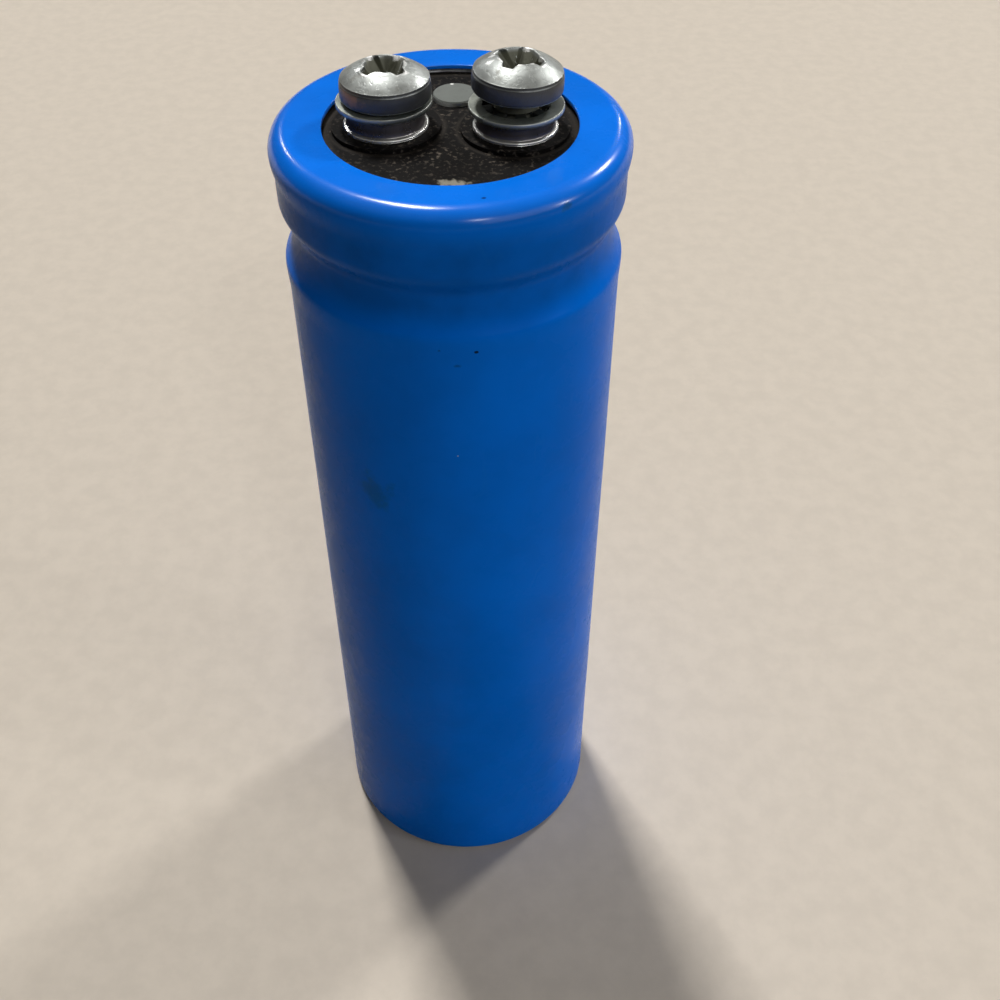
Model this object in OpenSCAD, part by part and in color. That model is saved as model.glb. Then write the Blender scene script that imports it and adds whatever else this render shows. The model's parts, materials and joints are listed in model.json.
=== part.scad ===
// Screw-terminal electrolytic capacitor, 35 x 105 mm case, standing on its base.
// Origin: centre of the base. +Z runs up the case, X along the terminal row,
// and the vent plug is on the +Y side.

/* [Can] */
// Outside diameter of the bare can's straight wall
can_d = 34.3; // [33:0.1:50]
// Height of the bare can, base to the top of its curled rim
can_h = 104.5; // [70:0.5:150]
// Thickness of the drawn wall
can_wall = 0.8; // [0.5:0.05:1]
// Thickness of the can's floor
floor_t = 0.9; // [0.6:0.05:1.6]
// Outside radius of the corner between wall and floor
base_corner = 0.8; // [0.4:0.1:1.2]

/* [Rolled groove] */
// Rim top to the middle of the groove
groove_drop = 9.35; // [8.5:0.05:14]
// How deep the groove is rolled into the straight wall
groove_depth = 1.05; // [0.5:0.05:1.5]
// Height of the groove's upper flank, which carries the deck
groove_rise = 3.1; // [2.6:0.1:4.5]
// Height of the groove's lower flank
groove_fall = 4.35; // [3:0.05:8]
// Inside radius of the crisp edge where the lower flank meets the straight wall
shoulder_bend = 0.1; // [0.05:0.05:0.4]
// How far the wall swells just under the groove
bulge = 0.14; // [0:0.02:0.3]
// Height over which that swelling runs out
bulge_run = 3; // [1:0.1:6]

/* [Curled rim] */
// How far the head stands out past the straight wall
head_swell = 0.15; // [0:0.05:0.6]
// Further swelling at the crest of the rim
crest_swell = 0.34; // [0:0.02:0.5]
// Height over which the crest swells
crest_run = 2.4; // [1:0.1:4]
// Outside radius of the rim's outer corner
rim_corner = 1.6; // [1.2:0.05:2.2]
// Width of the rim, from the head's side to the inside of the curl
rim_w = 4.1; // [3.6:0.05:5]
// Outside radius of the curl where it turns down
curl_turn = 1; // [0.9:0.05:1.4]
// Length of the straight edge that bites into the gasket
curl_leg = 0.65; // [0.3:0.05:1]

/* [Sleeve] */
// Thickness of the shrink sleeve
sleeve_t = 0.35; // [0.2:0.05:0.6]
// How far the sleeve's lip reaches in past the curl
lip_reach = 0.6; // [0.2:0.05:0.9]
// How far the lip sags at its edge
lip_sag = 0.1; // [0:0.02:0.14]
// Share of the curl's turn that the lip crosses before it starts to sag
lip_bend = 0.3; // [0.25:0.05:0.6]
// Width of the lap under the base
base_lap = 4; // [2:0.5:8]

/* [Deck] */
// Rim top of the bare can to the deck's face
deck_drop = 0.62; // [0.3:0.01:1.5]
// Depth of the gasket's ledge below the deck's face
ledge_drop = 2.25; // [1.9:0.05:3.2]
// How far the web between the bosses reaches below that ledge
web_t = 1.25; // [0.6:0.05:2]
// Width of the deck's outer skirt
skirt_w = 2.8; // [1.8:0.1:3.5]
// Room between the skirt and the can
skirt_gap = 0.2; // [0.1:0.05:0.4]
// Chamfer of the skirt's lower edge, which sits on the groove's upper flank
deck_chamfer = 1; // [0.5:0.1:1.4]
// Room between the raised middle of the deck and the curled edge
plateau_gap = 0.3; // [0.2:0.05:0.6]
// Diameter of the bosses round the terminals
boss_d = 10.8; // [10:0.1:11.6]
// Height of the bosses above the deck's face
boss_h = 0.4; // [0.1:0.02:0.6]
// How far the bosses reach below the skirt
boss_below = 0.4; // [0:0.1:1]
// Thickness of the rib that joins the bosses underneath
rib_t = 2; // [1:0.1:3]

/* [Vent plug] */
// Distance of the plug from the case's axis
vent_y = 6.9; // [6.8:0.1:8.2]
// Diameter of the plug's cap
vent_d = 4.6; // [3.6:0.1:5]
// Height of the plug's cap
vent_h = 0.5; // [0.3:0.05:0.8]
// Diameter of the plug's neck, and of the hole in the deck
vent_neck_d = 3; // [2:0.1:3.4]
// Diameter of the bead that holds the plug from below
vent_bead_d = 3.8; // [3.5:0.1:4.4]
// Chamfer round the edge of the cap
vent_edge = 0.12; // [0.05:0.01:0.2]

/* [Terminals] */
// Distance between the terminals' centres
terminal_pitch = 12.7; // [12.2:0.1:13.2]
// Diameter of the post
post_d = 7.7; // [7:0.1:8.2]
// Height of the post above its boss
post_h = 1.9; // [1.2:0.02:3]
// Diameter of the bright foot
foot_d = 8.5; // [8.4:0.1:9.2]
// Height of the foot's edge
foot_h = 0.12; // [0.08:0.02:0.4]
// Diameter of the flange that locks the post in the moulding
lock_flange_d = 9.4; // [8.6:0.1:9.8]
// Height of that flange
lock_flange_h = 1.2; // [0.6:0.1:2]
// Play of the screws in the tapped holes, on the radius
thread_play = 0.175; // [0.125:0.025:0.3]
// Room under the tip of the tight screw
tip_room = 0.4; // [0.2:0.1:0.5]
// Chamfer at the mouth of the tapped hole
mouth_chamfer = 0.3; // [0.1:0.05:0.5]
// Chamfer round the post's top edge
post_chamfer = 0.15; // [0.05:0.05:0.4]
// Diameter of the stub that is peened over the tab
stub_d = 3.2; // [2.4:0.1:4]
// Diameter of the peened end
peen_d = 4.6; // [4.2:0.1:6]
// Thickness of the peened end
peen_t = 0.5; // [0.3:0.05:0.8]

/* [Screws] */
// Diameter of the head
head_d = 8.9; // [8:0.1:10]
// Height of the head's side, up to the dome's edge
head_side = 1.95; // [1.2:0.05:2.5]
// How far the side leans in from its middle up to the dome's edge
head_taper = 0.1; // [0:0.02:0.3]
// Height of the dome above the side
dome_h = 1.6; // [1:0.05:2.4]
// Radius of the edge under the head
head_edge = 0.35; // [0.1:0.05:0.6]
// Diameter of the threaded shank
shank_d = 4.35; // [4:0.05:4.4]
// Length of the shank below the head
shank_l = 8; // [6:0.1:8]
// Chamfer at the tip of the shank
tip_chamfer = 0.5; // [0.2:0.1:1]
// Width across the cross recess, at the height of the dome's top
recess_span = 6.3; // [4:0.1:6.6]
// Width of one slot of the recess
recess_slot = 1.3; // [0.8:0.05:1.8]
// Diameter of the round hollow where the slots cross, at the dome's top
recess_core = 4.1; // [1.8:0.1:4.4]
// Depth of the recess below the top of the dome
recess_depth = 2.6; // [1.5:0.1:3.2]
// How far the positive screw is backed off its washer
backed_off = 1.4; // [1:0.05:3]
// Share of the thread's play that the backed-off screw leans through
lean_share = 0.8; // [0:0.05:0.9]
// Share of the thread's play by which the tight screw sits towards the case's axis
tight_share = 0.8; // [0:0.05:0.9]
// Turn of the positive screw's recess, in degrees
turn_positive = 66; // [0:1:89]
// Turn of the negative screw's recess, in degrees
turn_negative = 46; // [0:1:89]

/* [Lock washers] */
// Outside diameter
washer_d = 9.4; // [8.8:0.05:10.4]
// Thickness of the sheet
washer_t = 0.5; // [0.4:0.05:0.6]
// Width of the outer ring
washer_ring = 1.4; // [1:0.05:1.7]
// Number of teeth
teeth = 9; // [6:1:10]
// Width of one tooth
tooth_w = 1.1; // [0.8:0.05:1.2]
// Room between the tips of the teeth and the shank
tooth_gap = 0.3; // [0.15:0.05:0.5]
// Share of that room by which a washer hangs outwards from the tight screw's place
washer_share = 0.7; // [0:0.05:0.8]
// Twist of the teeth that still spring, in degrees
tooth_twist = 29; // [10:1:35]
// Twist left in the teeth that were crushed flat, in degrees
flat_twist = 2; // [0:1:9]

/* [Winding] */
// Gap between the wrapped roll and the can
roll_gap = 0.7; // [0.4:0.1:1.5]
// Thickness of the paper wrap
wrap_t = 0.35; // [0.2:0.05:0.6]
// Distance from the groove's lower flank down to the top of the roll
roll_clear = 0.5; // [0.3:0.1:4]
// Diameter of the hole that the winding mandrel leaves
core_d = 4; // [3:0.5:8]
// Number of turns drawn on the roll's ends
turn_marks = 10; // [4:1:16]
// Width of the spaces between the turns
turn_gap = 0.3; // [0.1:0.05:0.5]
// Depth of the spaces between the turns
turn_depth = 0.6; // [0.2:0.1:1.5]
// Thickness of the paper discs at both ends
disc_t = 0.4; // [0.2:0.05:0.8]
// Thickness of the pitch under the roll
pitch_t = 2; // [1:0.1:5]
// Height that the pitch climbs beside the roll
pitch_climb = 12; // [4:1:30]

/* [Tabs] */
// Width of a tab
tab_w = 5; // [3:0.5:6]
// Thickness of a tab
tab_t = 0.3; // [0.2:0.05:0.4]
// Inside radius of the tab's folds
fold_r = 0.6; // [0.4:0.05:0.7]
// Diameter of the washer under a tab
tab_washer_d = 6.4; // [5.4:0.1:7]
// Thickness of that washer
tab_washer_t = 0.5; // [0.3:0.05:0.8]

/* [Hidden] */

$fn = 96;

// Steps along each flank and each rounded corner of a revolved outline
flank_steps = 14;
corner_steps = 10;
// Room left where one piece slips into another
slip = 0.1;
// How far a cutting shape runs past the face that it cuts
past = 0.5;
// Positive is the terminal on the +X side
positive = 1;
negative = -1;

// Levels and radii of the bare can
can_r = can_d / 2;
can_z = sleeve_t;
rim_z = can_z + can_h;
bore_r = can_r - can_wall;
floor_z = can_z + floor_t;
head_r = can_r + head_swell;
crest_r = head_r + crest_swell;
groove_r = can_r - groove_depth;
groove_z = rim_z - groove_drop;
head_z = groove_z + groove_rise;
shoulder_z = groove_z - groove_fall;
shoulder_r = can_r + bulge;
bulge_z = shoulder_z - bulge_run;
crest_z = rim_z - rim_corner;
curl_r = head_r - rim_w;
curl_cx = curl_r + curl_turn;
curl_cz = rim_z - curl_turn;
curl_edge_z = curl_cz - curl_leg;

// Levels and radii of the deck
deck_z = rim_z - deck_drop;
ledge_z = deck_z - ledge_drop;
plateau_r = curl_r - plateau_gap;
deck_r = head_r - can_wall - skirt_gap;
deck_base_z = head_z - deck_chamfer - skirt_gap;
web_z = ledge_z - web_t;
boss_r = boss_d / 2;
boss_z = deck_z + boss_h;

// Levels of a terminal, from its top down
post_z = boss_z + post_h;
foot_fillet = (foot_d - post_d) / 2;
stub_z = deck_base_z - boss_below;
peen_z = stub_z - tab_t - tab_washer_t;
lock_flange_z = (web_z + stub_z) / 2;

// Levels of the lock washers and the screws on them
tooth_root_r = washer_d / 2 - washer_ring;
tooth_tip_r = shank_d / 2 + tooth_gap;
function washer_height(twist) = tooth_w * sin(twist) + washer_t * cos(twist);
tight_head_z = post_z + washer_height(tooth_twist);
loose_head_z = post_z + washer_height(flat_twist) + backed_off;
dome_edge_r = head_d / 2 - head_taper;
dome_r = (pow(dome_edge_r, 2) + pow(dome_h, 2)) / (2 * dome_h);
top_z = head_side + dome_h;

// Tapped hole, deep enough for the tight screw, and the lean that its play allows the other one
tapped_r = shank_d / 2 + thread_play;
tapped_z = tight_head_z - shank_l - tip_room;
drill_angle = 118;
drill_point = tapped_r / tan(drill_angle / 2);
pivot = shank_l / 2;
screw_lean = asin(lean_share * thread_play / pivot);
tight_shift = tight_share * thread_play;
washer_shift = washer_share * tooth_gap - tight_shift;

// Levels and radii of the roll and what holds it
wrap_r = bore_r - roll_gap;
roll_r = wrap_r - wrap_t;
core_r = core_d / 2;
pitch_z = floor_z + disc_t;
roll_z = pitch_z + pitch_t;
roll_top_z = bulge_z - roll_clear;
disc_r = bore_r - 2 * slip;
top_disc_r = groove_r - can_wall;

// A tab's two folds, from the terminal down to the roll
tab_reach = boss_r - fold_r - 2 * tab_t;
tab_step = 2 * fold_r + tab_t;
tab_slot = tab_t + 4 * slip;

// Points of an arc from angle a to angle b
function arc(cx, cz, r, a, b) =
  [for (i = [0 : corner_steps]) let (t = a + (b - a) * i / corner_steps)
    [cx + r * cos(t), cz + r * sin(t)]];

// One flank of the rolled wall: it eases from radius r0 at z0 to r1 at z1, moved d along its normal
function flank(r0, z0, r1, z1, d) =
  [for (i = [0 : flank_steps]) let (
      t = i / flank_steps,
      slope = (r1 - r0) * 90 * PI / 180 * sin(180 * t) / (z1 - z0),
      n = sqrt(1 + slope * slope))
    [r0 + (r1 - r0) * (1 - cos(180 * t)) / 2 + d / n,
     z0 + (z1 - z0) * t - d * slope / n]];

// The groove's lower flank: a small arc at the shoulder runs into a wide one that ends at the groove's middle
function lower_flank(d) =
  let (
    turn = 2 * atan((shoulder_r - groove_r) / groove_fall),
    edge_r = shoulder_bend + can_wall,
    hollow_r = groove_fall / sin(turn) - edge_r)
  concat(
    arc(shoulder_r - edge_r, shoulder_z, edge_r + d, 0, turn),
    back(arc(groove_r + hollow_r, groove_z, hollow_r - d, 180, 180 + turn)));

// The can's wall from the straight part up to the rim's outer corner, moved d out of the bare can
function wall_line(d) = concat(
  flank(can_r, bulge_z, shoulder_r, shoulder_z, d),
  lower_flank(d),
  flank(groove_r, groove_z, head_r, head_z, d),
  flank(head_r, crest_z - crest_run, crest_r, crest_z, d),
  arc(crest_r - rim_corner, crest_z, rim_corner + d, 0, 90));

// Reversed copy of a list of points
function back(points) = [for (i = [len(points) - 1 : -1 : 0]) points[i]];

module revolve(points) {
  rotate_extrude() polygon(points);
}

module tube(outer_r, inner_r, z0, z1) {
  translate([0, 0, z0]) difference() {
    cylinder(r = outer_r, h = z1 - z0);
    translate([0, 0, -past]) cylinder(r = inner_r, h = z1 - z0 + 2 * past);
  }
}

module at_terminal(side) {
  translate([side * terminal_pitch / 2, 0, 0]) children();
}

// Shrink sleeve: it follows the wall, laps over the rim and turns in under the base
module sleeve() {
  lap_r = can_r - base_lap;
  lip_r = curl_r - lip_reach;
  bend_r = curl_cx - curl_turn * lip_bend;
  color([0, 0.36, 0.75]) revolve(concat(
    [[lap_r, 0]],
    arc(can_r - base_corner, can_z + base_corner, base_corner + sleeve_t, -90, 0),
    wall_line(sleeve_t),
    [[bend_r, rim_z + sleeve_t], [lip_r, rim_z + sleeve_t - lip_sag],
     [lip_r, rim_z - lip_sag], [bend_r, rim_z]],
    back(wall_line(0)),
    back(arc(can_r - base_corner, can_z + base_corner, base_corner, -90, 0)),
    [[lap_r, can_z]]));
}

// Drawn can: one sheet from the floor, through the groove, to the curled edge
module can() {
  color([0.75, 0.76, 0.78]) revolve(concat(
    [[0, can_z]],
    arc(can_r - base_corner, can_z + base_corner, base_corner, -90, 0),
    wall_line(0),
    arc(curl_cx, curl_cz, curl_turn, 90, 180),
    [[curl_r, curl_edge_z], [curl_r + can_wall, curl_edge_z]],
    back(arc(curl_cx, curl_cz, curl_turn - can_wall, 90, 180)),
    back(wall_line(-can_wall)),
    [[bore_r, floor_z], [0, floor_z]]));
}

// Rubber ring that the curl squeezes on the deck's ledge
module deck_gasket() {
  gasket_r = head_r - can_wall - slip;
  color([0.08, 0.08, 0.08]) revolve([
    [plateau_r, ledge_z],
    [gasket_r, ledge_z],
    [gasket_r, crest_z - slip],
    [gasket_r - can_wall, rim_z - can_wall - slip],
    [curl_r + can_wall + slip, rim_z - can_wall - slip],
    [curl_r + can_wall + slip, curl_edge_z],
    [plateau_r, curl_edge_z]
  ]);
}

// Post with its bright foot, the flange that locks it in the moulding, and its peened stub
module terminal_outline() {
  post_r = post_d / 2;
  revolve(concat(
    [[0, peen_z - peen_t], [peen_d / 2, peen_z - peen_t], [peen_d / 2, peen_z],
     [stub_d / 2, peen_z], [stub_d / 2, stub_z], [post_r, stub_z],
     [post_r, lock_flange_z - lock_flange_h / 2],
     [lock_flange_d / 2, lock_flange_z - lock_flange_h / 2],
     [lock_flange_d / 2, lock_flange_z + lock_flange_h / 2],
     [post_r, lock_flange_z + lock_flange_h / 2],
     [post_r, boss_z], [foot_d / 2, boss_z]],
    back(arc(foot_d / 2, boss_z + foot_h + foot_fillet, foot_fillet, 180, 270)),
    [[post_r, post_z - post_chamfer], [post_r - post_chamfer, post_z], [0, post_z]]));
}

module terminal(side) {
  color([0.62, 0.63, 0.65]) at_terminal(side) difference() {
    terminal_outline();
    translate([0, 0, tapped_z]) cylinder(r = tapped_r, h = post_z - tapped_z + past);
    translate([0, 0, tapped_z - drill_point]) cylinder(r1 = 0, r2 = tapped_r, h = drill_point);
    translate([0, 0, post_z - mouth_chamfer])
      cylinder(r1 = tapped_r, r2 = tapped_r + mouth_chamfer, h = mouth_chamfer);
  }
}

// Moulded cover: a web with a skirt, two bosses joined by a rib, and a hole for the vent plug
module deck() {
  color([0.09, 0.08, 0.08]) difference() {
    union() {
      revolve([
        [0, web_z], [deck_r - skirt_w, web_z], [deck_r - skirt_w, deck_base_z],
        [deck_r - deck_chamfer, deck_base_z], [deck_r, deck_base_z + deck_chamfer],
        [deck_r, ledge_z], [plateau_r, ledge_z], [plateau_r, deck_z], [0, deck_z]
      ]);
      intersection() {
        for (side = [positive, negative])
          at_terminal(side) translate([0, 0, stub_z]) cylinder(d = boss_d, h = boss_z - stub_z);
        revolve([
          [0, stub_z], [deck_r, stub_z], [deck_r, ledge_z],
          [plateau_r, ledge_z], [plateau_r, boss_z], [0, boss_z]
        ]);
      }
      translate([-terminal_pitch / 2, -rib_t / 2, deck_base_z])
        cube([terminal_pitch, rib_t, deck_z - deck_base_z]);
    }
    for (side = [positive, negative])
      at_terminal(side) terminal_outline();
    translate([0, vent_y, web_z - past]) cylinder(d = vent_neck_d, h = deck_z - web_z + 2 * past);
  }
}

// Rubber plug, held between its cap and a bead under the web
module vent_plug() {
  bead_h = (vent_bead_d - vent_neck_d) / 2;
  color([0.52, 0.53, 0.51]) translate([0, vent_y, 0]) revolve([
    [0, web_z - 2 * bead_h], [vent_neck_d / 2, web_z - 2 * bead_h],
    [vent_bead_d / 2, web_z - bead_h], [vent_bead_d / 2, web_z],
    [vent_neck_d / 2, web_z], [vent_neck_d / 2, deck_z],
    [vent_d / 2, deck_z], [vent_d / 2, deck_z + vent_h - vent_edge],
    [vent_d / 2 - vent_edge, deck_z + vent_h], [0, deck_z + vent_h]
  ]);
}

// Cone that opens upwards from the recess's floor to diameter d at the dome's top, and runs on past it
module recess_cone(d) {
  widening = (d - recess_slot) * past / recess_depth;
  cylinder(d1 = recess_slot, d2 = d + widening, h = recess_depth + past);
}

// Cross recess: two slots within a cone, and a round hollow where they cross
module cross_recess() {
  translate([0, 0, top_z - recess_depth]) intersection() {
    recess_cone(recess_span);
    union() {
      for (turn = [0, 90])
        rotate([0, 0, turn])
          translate([-recess_span, -recess_slot / 2, 0])
            cube([2 * recess_span, recess_slot, recess_depth + 2 * past]);
      recess_cone(recess_core);
    }
  }
}

// Pan-head screw, drawn with the underside of its head at z = 0
module screw(recess_turn) {
  head_rad = head_d / 2;
  difference() {
    union() {
      rotate_extrude() difference() {
        intersection() {
          translate([0, top_z - dome_r]) circle(r = dome_r);
          polygon([
            [0, 0], [head_rad, 0], [head_rad, head_side / 2],
            [dome_edge_r, head_side], [dome_edge_r, top_z], [0, top_z]
          ]);
        }
        translate([head_rad - head_edge, 0]) difference() {
          translate([0, -past]) square([head_edge + past, head_edge + past]);
          translate([0, head_edge]) circle(r = head_edge);
        }
      }
      revolve([
        [0, -shank_l], [shank_d / 2 - tip_chamfer, -shank_l],
        [shank_d / 2, tip_chamfer - shank_l], [shank_d / 2, head_side / 2], [0, head_side / 2]
      ]);
    }
    rotate([0, 0, recess_turn]) cross_recess();
  }
}

// The backed-off screw leans about the middle of its shank
module screw_positive() {
  color([0.7, 0.7, 0.7]) at_terminal(positive)
    translate([0, 0, loose_head_z - pivot]) rotate([0, screw_lean, 0])
      translate([0, 0, pivot]) screw(turn_positive);
}

module screw_negative() {
  color([0.7, 0.7, 0.7]) at_terminal(negative)
    translate([tight_shift, 0, tight_head_z]) screw(turn_negative);
}

// Internal-tooth lock washer, resting at z = 0 on the low corners of its twisted teeth
module lock_washer(twist) {
  tooth_l = tooth_root_r - tooth_tip_r + 2 * slip;
  translate([0, 0, washer_height(twist) / 2]) {
    tube(washer_d / 2, tooth_root_r, -washer_t / 2, washer_t / 2);
    for (i = [0 : teeth - 1])
      rotate([0, 0, 360 / teeth * i])
        translate([tooth_tip_r + tooth_l / 2, 0, 0]) rotate([twist, 0, 0])
          cube([tooth_l, tooth_w, washer_t], center = true);
  }
}

module lock_washer_positive() {
  color([0.66, 0.66, 0.66]) at_terminal(positive)
    translate([washer_shift, 0, post_z]) lock_washer(flat_twist);
}

module lock_washer_negative() {
  color([0.66, 0.66, 0.66]) at_terminal(negative)
    translate([-washer_shift, 0, post_z]) lock_washer(tooth_twist);
}

// Washer between a tab and the peened end of its terminal
module tab_washer(side) {
  color([0.78, 0.78, 0.8]) at_terminal(side)
    tube(tab_washer_d / 2, stub_d / 2, peen_z, peen_z + tab_washer_t);
}

// Half-ring of a tab's strip, opening towards -X, seen along Y
module fold(cx, cz) {
  translate([cx, cz]) intersection() {
    difference() {
      circle(r = fold_r + tab_t);
      circle(r = fold_r);
    }
    translate([0, -fold_r - tab_t]) square([fold_r + tab_t, 2 * (fold_r + tab_t)]);
  }
}

// Tab: flat under its terminal, folded back twice, then straight down onto the roll
module tab(side) {
  top = stub_z - tab_t;
  middle = top - tab_step;
  low = middle - tab_step;
  back_x = tab_washer_d / 2 - fold_r;
  color([0.8, 0.8, 0.82]) mirror([side == positive ? 0 : 1, 0, 0])
    translate([terminal_pitch / 2, 0, 0]) difference() {
      translate([0, tab_w / 2, 0]) rotate([90, 0, 0]) linear_extrude(height = tab_w) {
        translate([-tab_washer_d / 2, top]) square([tab_washer_d / 2 + tab_reach, tab_t]);
        fold(tab_reach, top - fold_r);
        translate([back_x, middle]) square([tab_reach - back_x, tab_t]);
        translate([2 * back_x, 0]) mirror([1, 0]) fold(back_x, middle - fold_r);
        translate([back_x, low]) square([fold_r + tab_t, tab_t]);
        translate([back_x + fold_r, roll_top_z]) square([tab_t, low + tab_t - roll_top_z]);
      }
      translate([0, 0, peen_z]) cylinder(d = stub_d, h = stub_z - peen_z + past);
    }
}

// Paper disc on the roll, slotted for the tabs
module top_insulator() {
  slot_x = terminal_pitch / 2 + tab_washer_d / 2;
  color([0.8, 0.72, 0.55]) difference() {
    tube(top_disc_r, core_r, roll_top_z, roll_top_z + disc_t);
    for (side = [positive, negative])
      translate([side * (slot_x + tab_t / 2), 0, roll_top_z + disc_t / 2])
        cube([tab_slot, tab_w + 4 * slip, disc_t + 2 * past], center = true);
  }
}

// Foil and paper roll in one solid, with the spaces between its turns drawn on both ends
module winding() {
  pitch_r = (roll_r - core_r) / (turn_marks + 1);
  color([0.72, 0.7, 0.62]) difference() {
    tube(roll_r, core_r, roll_z, roll_top_z);
    for (i = [1 : turn_marks], z = [roll_z, roll_top_z])
      let (r = core_r + pitch_r * i)
        tube(r + turn_gap / 2, r - turn_gap / 2, z - turn_depth, z + turn_depth);
  }
}

module winding_wrap() {
  color([0.82, 0.76, 0.6]) tube(wrap_r, roll_r, roll_z, roll_top_z);
}

// Pitch under the roll, beside it and in the mouth of its core
module anchor() {
  color([0.05, 0.045, 0.04]) revolve([
    [0, pitch_z], [bore_r, pitch_z], [bore_r, roll_z + pitch_climb],
    [wrap_r, roll_z + pitch_climb], [wrap_r, roll_z], [core_r, roll_z],
    [core_r, roll_z + pitch_t], [0, roll_z + pitch_t]
  ]);
}

module bottom_insulator() {
  color([0.8, 0.72, 0.55]) translate([0, 0, floor_z]) cylinder(r = disc_r, h = disc_t);
}

sleeve();
can();
deck();
deck_gasket();
vent_plug();
terminal(positive);  // terminal_positive
terminal(negative);  // terminal_negative
screw_positive();
screw_negative();
lock_washer_positive();
lock_washer_negative();
tab_washer(positive);  // tab_washer_positive
tab_washer(negative);  // tab_washer_negative
tab(positive);  // anode_tab
tab(negative);  // cathode_tab
top_insulator();
winding();
winding_wrap();
anchor();
bottom_insulator();
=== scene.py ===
"""Looks of a screw-terminal capacitor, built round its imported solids.

Sizes in the classes are millimetres, as on a maker's drawing, and become metres where a mesh is
made. The case stands on the floor with its axis on +Z, and the terminals lie along X.
"""
import json
import logging
import math
from dataclasses import dataclass, field
from enum import Enum
from typing import Any, Callable, Dict, List, Optional, Sequence, Tuple

import bpy
import numpy as np
from mathutils import Matrix, Vector


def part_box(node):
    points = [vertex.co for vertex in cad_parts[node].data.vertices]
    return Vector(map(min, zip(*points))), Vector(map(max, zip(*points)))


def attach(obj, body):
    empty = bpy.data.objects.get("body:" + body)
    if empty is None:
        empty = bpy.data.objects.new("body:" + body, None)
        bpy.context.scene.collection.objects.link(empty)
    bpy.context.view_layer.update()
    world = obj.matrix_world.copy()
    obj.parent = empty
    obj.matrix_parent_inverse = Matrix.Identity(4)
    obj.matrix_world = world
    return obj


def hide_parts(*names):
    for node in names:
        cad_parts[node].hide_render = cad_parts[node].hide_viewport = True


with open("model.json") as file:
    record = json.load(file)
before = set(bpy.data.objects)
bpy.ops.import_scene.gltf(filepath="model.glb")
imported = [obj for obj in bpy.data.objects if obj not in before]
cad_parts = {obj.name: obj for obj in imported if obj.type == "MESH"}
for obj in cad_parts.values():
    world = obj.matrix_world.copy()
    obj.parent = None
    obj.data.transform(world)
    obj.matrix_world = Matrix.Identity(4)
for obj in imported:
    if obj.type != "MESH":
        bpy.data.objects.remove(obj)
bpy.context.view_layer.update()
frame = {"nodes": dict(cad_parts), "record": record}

LOG = logging.getLogger("capacitor")
MM = 0.001
ROOT = "root"
SHADE_AND_GRIME = "shade_and_grime"
POLISH_AND_HIGHLIGHT = "polish_and_highlight"
EVEN = (1.0, 1.0, 1.0)

Point = Tuple[float, float]
Colour = Tuple[float, float, float]
Place = Tuple[float, float, float]
Socket = bpy.types.NodeSocket
Faces = List[Sequence[int]]
Mesh = Tuple[np.ndarray, Faces]
Wobble = Callable[[np.ndarray, np.ndarray, np.ndarray], np.ndarray]


def linear(colour: Colour, share: float = 1.0) -> Colour:
    """Turn a colour as a picture shows it into the linear values of a shader.

    Args:
        colour: red, green and blue, 0 to 255.
        share: how much lighter or darker it becomes.

    Returns:
        The linear colour, 0 to 1.
    """
    def channel(value: float) -> float:
        """Undo the display curve of one channel."""
        level = value / 255
        return level / 12.92 if level <= 0.04045 else ((level + 0.055) / 1.055) ** 2.4

    return tuple(min(1.0, channel(value) * share) for value in colour)


def node_box(name: str) -> Tuple[Vector, Vector]:
    """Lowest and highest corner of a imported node, in millimetres."""
    low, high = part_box(name)
    return low / MM, high / MM


# Sheets of shader nodes


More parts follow.
